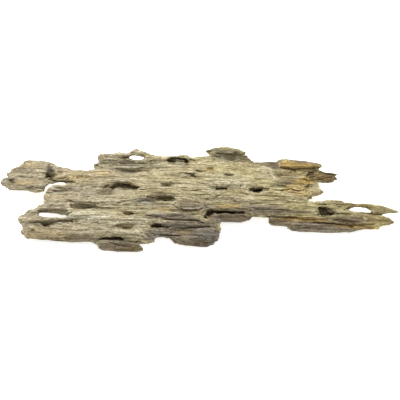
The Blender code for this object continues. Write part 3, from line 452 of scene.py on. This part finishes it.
PALE = each(Stain,
    (65, 36, 13, 9, 0.3), (32, 24, 26, 6, 0.5), (-60, -14, 30, 6, 0.3), (32, 30, 30, 5, 0.3),
    (-140, -9.5, 24, 2.2, 0.3), (114, -4, 4, 6, 0.4), (114, 17, 8, 5, 0.4), (-138, 42, 12, 4, 0.5),
    (-108, -8, 24, 7, 0.7), (-88, 7, 15, 5, 0.6), (62, 1, 26, 3, 0.3), (113, 18, 7, 5, 0.5),
    (-22, 44, 5, 3.4, 0.6), (-37, 44, 12, 3, 0.5), (-66, -25, 10, 5, 0.4), (102, 10, 14, 3, 0.2),
    (-64, 47, 12, 1.4, 0.5), (-128, -6, 10, 4, 0.5), (-92, -14, 10, 3, 0.4), (-70, 1, 10, 3, 0.4),
    (10, 17, 10, 4, 0.6), (30, 24, 12, 3, 0.4), (-128, -7, 12, 4, 0.7), (-72, 41.2, 12, 1.8, 0.7),
    (-70, 26.4, 10, 1.8, 0.5), (-74, -13.6, 14, 3, 0.6), (-92, 8, 10, 3, 0.55), (31, 25.4, 11, 3, 0.7),
    (-74, 53.4, 9, 2.4, 0.7), (-62, 55.4, 9, 2.4, 0.6), (-76, 26.4, 12, 2, 0.7), (-110, 12, 22, 3, 0.45),
    (-100, 7.5, 16, 2.4, 0.5),
)

SLATE = each(Stain,
    (8, -28, 15, 9, 0.9), (0, -34, 24, 5, 0.8), (-42, -25, 13, 5, 0.35), (-150, 38, 4.4, 3.4, 1),
    (29, 50, 20, 3.4, 0.4), (-80, 42.5, 20, 1.6, 0.3), (32, -9, 22, 4, 0.4), (-56, 7.5, 11, 3.4, 0.6),
    (-4, -38, 20, 3, 0.65), (103, 46.4, 12, 1.6, 0.8), (114, 44.4, 8, 1.4, 0.5),
    (-71.5, 36.4, 10, 2.4, 0.5), (-74, 46.2, 18, 1.6, 0.35), (-18, -7, 20, 4.6, 0.4),
    (-22, -18, 20, 4.4, 0.4), (-50, 4.6, 12, 2.6, 0.35),
)

# Where the wood is worn smooth.
CALM = each(Stain,
    (-77, 17.4, 14, 4.6, 0.8), (113.6, 18.4, 9.5, 6.6, 0.95), (-174, 31, 20, 9, 0.45),
    (-75, 46.6, 28, 4, 0.6), (-72, 37, 14, 4, 0.7), (102, 43, 20, 5, 0.6), (-116, 1.4, 13, 3, 0.7),
    (-33, 23.6, 6, 3, 0.8), (180, -1, 26, 7, 1), (-136, 36, 18, 6, 0.5), (-75, -19, 10, 2.6, 0.7),
    (-170, -9.6, 22, 3, 0.4), (-145, -3, 14, 2, 0.6), (30, 51.4, 16, 4, 0.6), (-12, 4, 16, 6, 0.3),
    (28, -9, 24, 4, 0.4), (92, 29, 16, 4, 0.4),
)

# Pale lines where the wood has broken lately: their routes, half their width and how pale they are.
RIMS = each(Rim,
    ([(-27.4, 4.8), (-24, 2.2), (-20.5, -0.4), (-14, -0.8), (-9, -0.2), (-7, -1.2), (-1, -0.2),
     (3.8, 2.2)], 0.8, 0.9),
    ([(163.6, -9.6), (166, -12.4), (165, -14.8)], 0.8, 0.7), ([(126, -13.8), (131, -11.4)], 0.7, 0.6),
    ([(79.4, 46.6), (80.4, 38.6)], 0.7, 0.45), ([(-157.4, 14), (-154, 19), (-149.4, 23)], 0.9, 0.9),
    ([(47, 17.4), (49, 11), (52, 8.6)], 1, 0.5), ([(70, 40), (73, 32), (77, 27)], 1, 0.5),
    ([(-59, -19), (-56, -26), (-52.4, -29)], 1.2, 0.4), ([(-100, 22), (-99, 32)], 1, 0.3),
    ([(5.6, 4), (13, 0.2)], 1, 0.3), ([(-52, -4.4), (-46, -4.6), (-40, -5.8), (-34, -7)], 0.6, 0.6),
    ([(166, -0.8), (171, -4.4)], 0.6, 0.5), ([(118, -7.6), (130, -8.6), (136, -8)], 0.6, 0.4),
    ([(-40, 20.6), (-34, 20.2), (-28, 20.8)], 0.6, 0.5),
    ([(-51.5, -5.6), (-46, -4.9), (-39, -6.4)], 0.5, 0.6),
    ([(-64, 5.2), (-57, 5.8), (-50, 5.2)], 0.5, 0.5),
)

# The stains and patches of painted light and shade, in the order in which they lie over each other, with the
# colour of each.
TINTS = (
    Tint("pale", PALE, 1.0, (0.56, 0.52, 0.38, 1)),
    Tint("green", GREEN, 0.9, (0.195, 0.18, 0.12, 1)),
    Tint("grey", GREY, 0.9, (0.205, 0.17, 0.128, 1)),
    Tint("ochre", OCHRE, 0.85, (0.46, 0.31, 0.10, 1)),
    Tint("slate", SLATE, 0.9, (0.158, 0.145, 0.122, 1)),
    Tint("brown", BROWN, 0.92, (0.17, 0.12, 0.065, 1)),
)


def finished(shaped, name):
    """The mesh made of a bmesh."""
    mesh = bpy.data.meshes.new(name)
    shaped.to_mesh(mesh)
    shaped.free()
    return mesh


def placed(name, data):
    """An object in the scene with this data."""
    piece = bpy.data.objects.new(name, data)
    bpy.context.scene.collection.objects.link(piece)
    return piece


def cad_mesh():
    """A copy of the slab's solid with its corners merged."""
    shaped = bmesh.new()
    shaped.from_mesh(frame["nodes"]["honeycomb_wood"].data)
    bmesh.ops.remove_doubles(shaped, verts=shaped.verts[:], dist=MERGED)
    return shaped


def seen(places):
    """Across and up of places on the slab, as the camera sees them."""
    return places[:, 0], places @ SEEN_UP


def grain_line(across, up):
    """The line of the grain through a place."""
    return up + GRAIN_SLOPE * across + GRAIN_BEND * across**2


def place_seen(tree, across, up):
    """The place on the slab that the camera sees there."""
    start = (SEEN_UP * up + TO_CAMERA * SIGHT_START + np.array((across, 0.0, 0.0))) * MM
    hit = tree.ray_cast(Vector(start), Vector(-TO_CAMERA))[0]
    return None if hit is None else np.array(hit) / MM


def gallery_mesh(gallery, mouth, seed):
    """One worm-eaten gallery: a long rounded body, rough as rotted wood, sunk in under its far rim."""
    shaped = bmesh.new()
    bmesh.ops.create_icosphere(shaped, subdivisions=3, radius=1.0)
    along, across, deep = GALLERY_LUMPS
    for vert in shaped.verts:
        lump = Vector((vert.co.x * along, vert.co.y * across, vert.co.z * deep)) + Vector((seed, 0, 0))
        blunt = 1.0 + GALLERY_BLUNT * abs(vert.co.x) ** 6
        vert.co *= (1.0 + GALLERY_ROUGH * noise.noise(lump)) * blunt
    size = Matrix.Diagonal((gallery.half_length, gallery.reach, gallery.half_height, 1.0))
    slope = Matrix.Rotation(-math.radians(gallery.dip), 4, "X")
    lean = Matrix.Rotation(-(GRAIN_SLOPE + 2.0 * GRAIN_BEND * gallery.across), 4, "Z")
    inward = slope @ Vector((0.0, gallery.away, 0.0))
    middle = Matrix.Translation(Vector(mouth) + inward)
    place = Matrix.Scale(MM, 4) @ middle @ lean @ slope @ size
    bmesh.ops.transform(shaped, verts=shaped.verts[:], matrix=place)
    bmesh.ops.recalc_face_normals(shaped, faces=shaped.faces[:])
    return finished(shaped, "gallery")


def window_mesh(outline):
    """A prism along the line of sight, which opens the slab where it is seen through."""
    shaped = bmesh.new()
    near = []
    for across, up in outline:
        corner = Vector((across, 0.0, 0.0)) + Vector(SEEN_UP * up + TO_CAMERA * WINDOW_REACH)
        near.append(shaped.verts.new(corner))
    shaped.faces.new(near)
    pushed = bmesh.ops.extrude_face_region(shaped, geom=shaped.faces[:])
    far = [part for part in pushed["geom"] if isinstance(part, bmesh.types.BMVert)]
    bmesh.ops.translate(shaped, verts=far, vec=Vector(-TO_CAMERA * (2.0 * WINDOW_REACH)))
    bmesh.ops.scale(shaped, verts=shaped.verts[:], vec=(MM, MM, MM))
    bmesh.ops.recalc_face_normals(shaped, faces=shaped.faces[:])
    return finished(shaped, "window")


def evaluated_mesh(piece):
    """The mesh of a piece with its modifiers applied. The piece itself is removed."""
    bpy.context.view_layer.update()
    graph = bpy.context.evaluated_depsgraph_get()
    mesh = bpy.data.meshes.new_from_object(piece.evaluated_get(graph), depsgraph=graph)
    bpy.data.objects.remove(piece)
    return mesh


def carved_slab():
    """The slab's solid with its galleries and windows cut out, and the places of the galleries' mouths."""
    shaped = cad_mesh()
    tree = BVHTree.FromBMesh(shaped)
    slab = placed("slab", finished(shaped, "slab"))
    cutters = bpy.data.collections.new("cutters")
    bpy.context.scene.collection.children.link(cutters)
    mouths = []
    for index, gallery in enumerate(GALLERIES):
        mouth = place_seen(tree, gallery.across, gallery.up)
        if mouth is not None:
            mesh = gallery_mesh(gallery, mouth, GALLERY_SEEDS * index)
            cutters.objects.link(bpy.data.objects.new("gallery", mesh))
            mouths.append((gallery, mouth))
    for outline in WINDOWS:
        cutters.objects.link(bpy.data.objects.new("window", window_mesh(outline)))
    cut = slab.modifiers.new("cut", "BOOLEAN")
    cut.operand_type = "COLLECTION"
    cut.collection = cutters
    cut.solver = "EXACT"
    carved = evaluated_mesh(slab)
    for cutter in list(cutters.objects):
        bpy.data.objects.remove(cutter)
    bpy.data.collections.remove(cutters)
    return carved, mouths


def fine_mesh(mesh, size):
    """The same shape in even small faces, longer along the grain."""
    mesh.transform(Matrix.Diagonal((1.0 / GRAIN_SQUEEZE, 1.0, 1.0, 1.0)))
    coarse = placed("coarse", mesh)
    remesh = coarse.modifiers.new("remesh", "REMESH")
    remesh.mode = "VOXEL"
    remesh.voxel_size = size * MM
    fine = evaluated_mesh(coarse)
    fine.transform(Matrix.Diagonal((GRAIN_SQUEEZE, 1.0, 1.0, 1.0)))
    return fine


def thinned(mesh):
    """The mesh with fewer faces where it is flat."""
    full = placed("full", mesh)
    thin = full.modifiers.new("thin", "DECIMATE")
    thin.ratio = MOST_FACES / (2.0 * len(mesh.polygons))
    return evaluated_mesh(full)


def vertex_places(mesh):
    """The places of a mesh's vertices."""
    places = np.empty(len(mesh.vertices) * 3)
    mesh.vertices.foreach_get("co", places)
    return places.reshape(-1, 3) / MM


def move_vertices(mesh, places):
    """Moves a mesh's vertices to these places."""
    mesh.vertices.foreach_set("co", (places * MM).ravel())
    mesh.update()


def edge_ends(mesh):
    """The two vertices of each edge."""
    ends = np.empty(len(mesh.edges) * 2, int)
    mesh.edges.foreach_get("vertices", ends)
    return ends.reshape(-1, 2)


def averaged(values, ends, rounds):
    """Values at the vertices after each has moved towards the mean of its neighbours, some rounds over."""
    first, second = ends[:, 0], ends[:, 1]
    count = len(values)
    around = np.bincount(first, minlength=count) + np.bincount(second, minlength=count)
    around = np.maximum(around, 1)
    columns = values.reshape(count, -1).copy()
    for _ in range(rounds):
        for k in range(columns.shape[1]):
            column = columns[:, k]
            total = np.bincount(first, column[second], count) + np.bincount(second, column[first], count)
            columns[:, k] = KEPT * column + (1.0 - KEPT) * total / around
    return columns.reshape(values.shape)


def vertex_normals(mesh, places):
    """Normals of the vertices of a mesh of four-sided faces, for these places."""
    corners = np.empty(len(mesh.loops), int)
    mesh.loops.foreach_get("vertex_index", corners)
    quads = corners.reshape(-1, 4)
    a, b, c, d = (places[quads[:, k]] for k in range(4))
    across_face = np.cross(c - a, d - b)
    normals = np.zeros_like(places)
    for k in range(4):
        for axis in range(3):
            normals[:, axis] += np.bincount(quads[:, k], across_face[:, axis], len(places))
    return normals / np.maximum(np.linalg.norm(normals, axis=1), 1e-9)[:, None]


def facing(normals, way, sharpness):
    """1 where the surface faces this way, falling to 0 where it faces sideways or off."""
    return np.clip(normals @ way * sharpness, 0.0, 1.0)


def standing_out(places, normals, ends, rounds):
    """How far each place stands out from the mean of what lies round it."""
    return np.einsum("ij,ij->i", places - averaged(places, ends, rounds), normals)


def noise_at(x, y, z, lumps):
    """Smooth noise at each place, with lumps of this size."""
    moved = (x / lumps.along + lumps.seed, y / lumps.across + 1.7 * lumps.seed, z / lumps.deep - lumps.seed)
    return np.array([noise.noise(point) for point in np.stack(moved, 1).tolist()])


def near_points(across, up, points, margin):
    """Which places lie in the box round these points, widened by a margin."""
    low, high = np.min(points, 0) - margin, np.max(points, 0) + margin
    return (across > low[0]) & (across < high[0]) & (up > low[1]) & (up < high[1])


def route_distance(across, up, route):
    """Distance of each place to a line through these points."""
    nearest = np.full(len(across), np.inf)
    for (x0, y0), (x1, y1) in zip(route, route[1:]):
        run_x, run_y = x1 - x0, y1 - y0
        share = np.clip(((across - x0) * run_x + (up - y0) * run_y) / (run_x**2 + run_y**2), 0.0, 1.0)
        nearest = np.minimum(nearest, np.hypot(across - x0 - share * run_x, up - y0 - share * run_y))
    return nearest


def line_share(across, up, line):
    """How fully each place lies on a crack or rim: 1 along its middle, 0 outside its reach."""
    return np.clip(LINE_REACH - route_distance(across, up, line.route) / line.half_width, 0.0, 1.0)


def within(across, up, outline):
    """Distance of each place inside a closed outline to its nearest edge, and 0 outside it."""
    inside = np.zeros(len(across), bool)
    for (x0, y0), (x1, y1) in zip(outline, outline[1:] + outline[:1]):
        if y0 != y1:
            inside ^= ((y0 > up) != (y1 > up)) & (across < (x1 - x0) * (up - y0) / (y1 - y0) + x0)
    return np.where(inside, route_distance(across, up, outline + outline[:1]), 0.0)


def lens_place(across, up, lens, stray):
    """How far each place lies inside a lens: 1 in its middle, 0 on its rim, below 0 outside."""
    along = (across - lens.across) / lens.half_length
    side = grain_line(across, up) - grain_line(lens.across, lens.up)
    return 1.0 - np.sqrt(along**2 + (side / lens.half_width) ** 2) + stray


def patched(across, up, stains, stray):
    """How strongly each place lies in these patches, soft at their rims."""
    strength = np.zeros(len(across))
    for stain in stains:
        inside = np.clip(lens_place(across, up, stain, stray) / LENS_EDGE, 0.0, 1.0)
        strength = np.maximum(strength, stain.strength * inside * inside * (3.0 - 2.0 * inside))
    return strength


def slope_share(along, side, dent):
    """The share of its depth that a dent or cut has at each place, by its fades."""
    across_share = 1.0 - abs(dent.fade_across) * (1.0 + np.sign(dent.fade_across) * along) / 2.0
    up_share = 1.0 - abs(dent.fade_up) * (1.0 + np.sign(dent.fade_up) * side) / 2.0
    return np.clip(across_share, 0.0, 1.0) * np.clip(up_share, 0.0, 1.0)


def dent_depth(across, up):
    """How far each place is sunk away from the camera by the dents and cuts. Below 0 it is raised."""
    sunk, raised = np.zeros(len(across)), np.zeros(len(across))
    wander = noise_at(across, up, 0.0 * up, RIM_WANDER)

    def pressed(near, depth):
        sunk[near] = np.maximum(sunk[near], depth)
        raised[near] = np.maximum(raised[near], -depth)

    for dent in DENTS:
        near = np.abs(across - dent.across) < DENT_REACH * dent.half_length
        inside = lens_place(across[near], up[near], dent, DENT_WANDER * wander[near])
        rim = np.clip(inside * dent.half_width / RIM_RUN, 0.0, 1.0)
        along = (across[near] - dent.across) / dent.half_length
        side = (up[near] - dent.up) / dent.half_width
        pressed(near, dent.depth * rim * slope_share(along, side, dent))
    for cut in CUTS:
        low, high = np.min(cut.outline, 0), np.max(cut.outline, 0)
        middle, half = (low + high) / 2.0, (high - low) / 2.0
        near = near_points(across, up, cut.outline, CUT_MARGIN)
        strayed = across[near] + CUT_WANDER_ACROSS * wander[near], up[near] + CUT_WANDER_UP * wander[near]
        rim = np.clip(within(*strayed, cut.outline) / cut.run, 0.0, 1.0)
        along, side = (across[near] - middle[0]) / half[0], (up[near] - middle[1]) / half[1]
        pressed(near, cut.depth * rim * slope_share(along, side, cut))
    return sunk - raised


def dented(mesh):
    """Sinks the dents and cuts into the side that faces the camera, and leaves some wood under each."""
    places = vertex_places(mesh)
    depth = dent_depth(*seen(places)) * facing(vertex_normals(mesh, places), TO_CAMERA, DENTS_FACE)
    tree = BVHTree.FromPolygons((places * MM).tolist(), [tuple(face.vertices) for face in mesh.polygons])
    for index in np.nonzero(depth > NO_DENT)[0]:
        start = places[index] - TO_CAMERA * SKIN
        reach = tree.ray_cast(Vector(start * MM), Vector(-TO_CAMERA))[3]
        if reach is not None:
            depth[index] = min(depth[index], max(0.0, reach / MM - THINNEST))
    move_vertices(mesh, places - TO_CAMERA * depth[:, None])
    return mesh


def terraces(values, steps, edge):
    """Turns a smooth field into flat steps with short steep edges."""
    scaled = values * steps
    low = np.floor(scaled)
    rise = np.clip((scaled - low - 0.5) / edge + 0.5, 0.0, 1.0)
    return (low + rise) / steps


def parted(x, y, mouths):
    """The line of the grain at each place: it bends round the mouths of the galleries."""
    moved = np.array(y)
    for gallery, mouth in mouths:
        along = (x - mouth[0]) / (MOUTH_REACH * gallery.half_length)
        near = np.abs(along) < MOUTH_RUN
        away = y[near] - mouth[1]
        width = MOUTH_PUSH * gallery.half_height * np.exp(-(along[near] ** 2))
        spread = MOUTH_SPREAD * gallery.half_height + 1.0
        moved[near] -= np.sign(away) * width * np.exp(-np.abs(away) / spread)
    return grain_line(x, moved)


def grain_run(places, mouths):
    """Each place in the run of the grain: along it, across it and through its layers."""
    x, y, z = places.T
    line = parted(x, y, mouths)
    line = line + LINE_WAVE_HEIGHT * noise_at(x, line, z, LINE_WAVES)
    return x, line, z + LAYER_WAVE_HEIGHT * noise_at(x, line, z, LAYER_WAVES)


def wear(run, normals, calm):
    """How far the surface is moved by its plates, fibres and crumbs, and how far by its fibres alone."""
    plates = terraces(noise_at(*run, PLATES), PLATE_STEPS, PLATE_EDGE)
    strands, threads = np.abs(noise_at(*run, STRANDS)), np.abs(noise_at(*run, THREADS))
    rough = np.clip(noise_at(*run, ROUGH_PARTS) + ROUGH_SHARE, 0.0, 1.0)
    end_on = np.abs(normals[:, 0])
    fibres = (STRAND_HEIGHT * strands + THREAD_HEIGHT * threads - FIBRE_SINK) * (1.0 - calm)
    moved = PLATE_HEIGHT * plates + fibres * (FIBRE_FACE + FIBRE_END * end_on)
    moved = moved + CRUMB_HEIGHT * noise_at(*run, CRUMBS) * (CRUMB_FACE + rough * CRUMB_ROUGH + end_on)
    return moved * (1.0 - CALMED * calm), fibres


def cracks_at(across, up, stray):
    """How deep the cracks are at each place, and how dark their painted shade makes it."""
    depth, dark = np.zeros(len(across)), np.zeros(len(across))
    for crack in CRACKS + PAINTED_SHADE_LINES:
        near = near_points(across, up, crack.route, LINE_REACH * crack.half_width + LINE_MARGIN)
        share = line_share(across[near], up[near] + LINE_STRAY * stray[near], crack)
        depth[near] = np.maximum(depth[near], crack.depth * share)
        dark[near] = np.maximum(dark[near], crack.dark * share)
    return depth, dark


def rims_at(across, up, stray):
    """How pale the freshly broken rims are at each place."""
    pale = np.zeros(len(across))
    for rim in RIMS:
        pale = np.maximum(pale, rim.strength * line_share(across, up + LINE_STRAY * stray, rim))
    return pale


def noted(mesh, name, kind, field, values):
    """Writes values at the vertices on to the mesh, where the finish reads them."""
    note = mesh.attributes.new(name, kind, "POINT")
    note.data.foreach_set(field, values.astype(np.float32).ravel())


def weathered(mesh, mouths):
    """Moves the surface into grain, plates and splinters, and notes on it what its finish needs."""
    ends = edge_ends(mesh)
    places = averaged(vertex_places(mesh), ends, FIRST_ROUNDS)
    normals = vertex_normals(mesh, places)
    across, up = seen(places)
    run = grain_run(places, mouths)
    stray = STRAY_SHARE * noise_at(*run, STRAY)
    bulge = standing_out(places, normals, ends, BULGE_ROUNDS)
    free = np.clip(places[:, 2] / RESTING_HEIGHT, 0.0, 1.0)
    free = free * np.clip(STURDY - bulge / STURDY_FALL, LEAST_STURDY, 1.0)

    moved, fibres = wear(run, normals, patched(across, up, CALM, stray))
    places = places + normals * (moved * free)[:, None]
    upper = facing(normals, UPWARD, FLAKES_FACE)
    for flake in FLAKES:
        inside = np.clip(lens_place(across, up, flake, stray) / FLAKE_EDGE, 0.0, 1.0)
        places = places + TO_CAMERA * (flake.height * inside * upper * free)[:, None]
    depth, dark = cracks_at(across, up, stray)
    places = places - TO_CAMERA * (depth * (facing(normals, TO_CAMERA, CRACKS_FACE) * free))[:, None]
    spar = np.clip((across - SPAR_START) / SPAR_LENGTH, 0.0, 1.0) ** 2
    places[:, 0] += SPAR_REACH * (spar * np.clip((up - SPAR_UNDER) / SPAR_EDGE, 0.0, 1.0))
    places[:, 2] = np.maximum(places[:, 2], 0.0)
    move_vertices(mesh, places)

    # dark is the painted shade of the cracks and shade lines; cavity is painted shade for the hollows.
    notes = {"groove": fibres, "dark": dark, "rim": rims_at(across, up, stray) * (1.0 - dark)}
    notes["cavity"] = standing_out(places, normals, ends, CAVITY_ROUNDS)
    notes["drift"] = 0.5 + across / (2.0 * HALF_LENGTH)
    for tint in TINTS:
        notes[tint.name] = patched(across, up, tint.stains, stray)
    for name, values in notes.items():
        noted(mesh, name, "FLOAT", "value", values)
    noted(mesh, "grain", "FLOAT_VECTOR", "vector", np.stack(run, 1) * MM)
    return mesh


class Socket:
    """A shader value written as a number: its sums, differences and products add the Math nodes."""

    def __init__(self, tree, link):
        self.tree, self.link = tree, link

    def node(self, kind, settings=(), **sockets):
        """A node with these settings, and values or links in its sockets, by name, or i0, i1 by number."""
        made = self.tree.nodes.new(kind)
        for name, value in dict(settings).items():
            setattr(made, name, value)
        for name, value in sockets.items():
            key = int(name[1:]) if name[0] == "i" and name[1:].isdigit() else name
            if isinstance(value, Socket):
                self.tree.links.new(value.link, made.inputs[key])
            else:
                made.inputs[key].default_value = value
        return made

    def value(self, kind, output, settings=(), **sockets):
        """The output of such a node."""
        return Socket(self.tree, self.node(kind, settings, **sockets).outputs[output])

    def math(self, operation, *others):
        """A Math node of these values."""
        sockets = {f"i{k}": other for k, other in enumerate(others)}
        return self.value("ShaderNodeMath", 0, {"operation": operation}, **sockets)

    def __add__(self, other):
        return self.math("ADD", self, other)

    def __radd__(self, other):
        return self.math("ADD", other, self)

    def __sub__(self, other):
        return self.math("SUBTRACT", self, other)

    def __rsub__(self, other):
        return self.math("SUBTRACT", other, self)

    def __mul__(self, other):
        return self.math("MULTIPLY", self, other)

    def __rmul__(self, other):
        return self.math("MULTIPLY", other, self)

    def between(self, low, high):
        """0 at low, 1 at high, smooth between them."""
        smooth = {"interpolation_type": "SMOOTHSTEP"}
        return self.value("ShaderNodeMapRange", "Result", smooth, Value=self, i1=low, i2=high)

    def mixed(self, start, end):
        """A colour from start to end by this value."""
        return self.value("ShaderNodeMix", 2, {"data_type": "RGBA"}, i0=self, i6=start, i7=end)

    def shaded(self, shade):
        """This value as a shade of the wood."""
        return shade.dark + shade.gain * self.between(shade.low, shade.high)

    def note(self, name, output="Fac"):
        """What is noted on the mesh under a name."""
        return self.value("ShaderNodeAttribute", output, {"attribute_name": name})

    def woven(self, weave):
        """Noise drawn out along this vector, which runs with the grain."""
        thin = 1.0 / (weave.across * MM)
        drawn = self.value("ShaderNodeVectorMath", 0, {"operation": "MULTIPLY"}, i0=self,
                           i1=(1.0 / (weave.along * MM), thin, thin))
        return self.value("ShaderNodeTexNoise", 0, Vector=drawn, Scale=1.0, Detail=weave.detail,
                          Roughness=weave.roughness)


def wood_colour(grain):
    """The colour of the clean wood with its stains, patches of painted light and shade, and fresh rims laid
    over it.
    """
    warm = grain.note("drift") + TAN_WANDER * grain.woven(BROAD) - TAN_WANDER / 2.0
    colour = warm.between(0.0, 1.0).mixed(TAN, STRAW)
    for tint in TINTS:
        colour = (grain.note(tint.name) * tint.strength).mixed(colour, tint.colour)
    return grain.note("rim").mixed(colour, FRESH_WOOD)


def wood_shade(grain, lines, hairs, specks):
    """How light the wood is at each place: less in its lines and grooves, and less again by painted shade in
    cracks and hollows.
    """
    folds = grain.math("ABSOLUTE", grain.woven(CREASES) - 0.5)
    shade = grain.woven(BANDS).shaded(BAND_SHADE)
    # The cavity, last in this list, is painted shade in the hollows.
    for layer, look in ((lines, LINE_SHADE), (hairs, HAIR_SHADE), (specks, SPECK_SHADE),
                        (grain.note("groove"), GROOVE_SHADE), (grain.woven(FLECKS), FLECK_SHADE),
                        (folds, CREASE_SHADE), (grain.note("cavity"), CAVITY_PAINTED_SHADE)):
        shade = shade * layer.shaded(look)
    # Painted shade in the cracks, under the rims and along the low edges.
    shade = shade * (1.0 - CRACK_PAINTED_SHADE * grain.note("dark"))
    return shade + grain.note("rim") * (RIM_SHADE - shade)


def wood_finish():
    """Dry weathered wood: pale strands, dark grooves, stains of many colours, and painted shade in its
    cracks and hollows.
    """
    material = bpy.data.materials.new("weathered_wood")
    material.use_nodes = True
    tree = material.node_tree
    shader = tree.nodes["Principled BSDF"]
    shader.inputs["Roughness"].default_value = WOOD_ROUGHNESS
    shader.inputs["Specular IOR Level"].default_value = WOOD_GLOSS

    grain = Socket(tree, None).note("grain", "Vector")
    lines, hairs, specks = grain.woven(LINES), grain.woven(HAIRS), grain.woven(SPECKS)
    shade = wood_shade(grain, lines, hairs, specks)
    tone = grain.value("ShaderNodeCombineColor", 0, Red=shade.math("POWER", shade, RED_POWER), Green=shade,
                       Blue=shade.math("POWER", shade, BLUE_POWER))
    colour = grain.value("ShaderNodeMix", 2, {"data_type": "RGBA", "blend_type": "MULTIPLY"},
                         i0=1.0, i6=wood_colour(grain), i7=tone)
    tree.links.new(colour.link, shader.inputs["Base Color"])

    height = lines * LINE_BUMP + hairs * HAIR_BUMP + specks * SPECK_BUMP
    bump = grain.value("ShaderNodeBump", 0, Height=height, Strength=BUMP_STRENGTH, Distance=BUMP_HEIGHT * MM)
    tree.links.new(bump.link, shader.inputs["Normal"])
    return material


def camera_and_light():
    """The camera at the photo's angle, two soft lamps and an even light from all round."""
    camera = placed("camera", bpy.data.cameras.new("camera"))
    camera.data.lens = LENS
    camera.data.sensor_width = SENSOR
    away = LENS / SENSOR * PICTURE_WIDTH
    camera.location = Vector((SEEN_UP * MIDDLE_UP + TO_CAMERA * away) * MM)
    camera.rotation_euler = (math.pi / 2.0 - SEEN_FROM, 0.0, 0.0)
    bpy.context.scene.camera = camera

    for lamp in LAMPS:
        light = bpy.data.lights.new(lamp.name, "AREA")
        light.shape = "DISK"
        light.size = lamp.size
        light.energy = lamp.power
        holder = placed(lamp.name, light)
        holder.location = lamp.place
        holder.rotation_euler = (-Vector(lamp.place)).to_track_quat("-Z", "Y").to_euler()

    world = bpy.data.worlds.new("studio")
    world.use_nodes = True
    world.node_tree.nodes["Background"].inputs["Color"].default_value = WHITE
    world.node_tree.nodes["Background"].inputs["Strength"].default_value = WORLD_LIGHT
    bpy.context.scene.world = world
    bpy.context.scene.view_settings.view_transform = "Standard"


def pale_floor():
    """A plain pale floor that glows a little, so that the slab's shadow stays faint."""
    shaped = bmesh.new()
    bmesh.ops.create_grid(shaped, x_segments=1, y_segments=1, size=FLOOR_SIZE)
    floor = placed("floor", finished(shaped, "floor"))
    floor.location.z = -FLOOR_DROP
    material = bpy.data.materials.new("pale_floor")
    material.use_nodes = True
    shader = material.node_tree.nodes["Principled BSDF"]
    shader.inputs["Base Color"].default_value = FLOOR_COLOUR
    shader.inputs["Roughness"].default_value = FLOOR_ROUGHNESS
    shader.inputs["Emission Color"].default_value = WHITE
    shader.inputs["Emission Strength"].default_value = FLOOR_GLOW
    floor.data.materials.append(material)


def honeycomb_wood():
    """The slab itself, in place of its plain solid."""
    carved, mouths = carved_slab()
    notched = dented(fine_mesh(carved, ROUGH))
    mesh = thinned(weathered(fine_mesh(notched, FINE), mouths))
    mesh.materials.clear()
    mesh.materials.append(wood_finish())
    mesh.shade_smooth()
    piece = placed("weathered_slab", mesh)
    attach(piece, "root")
    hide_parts("honeycomb_wood")


camera_and_light()
pale_floor()
honeycomb_wood()
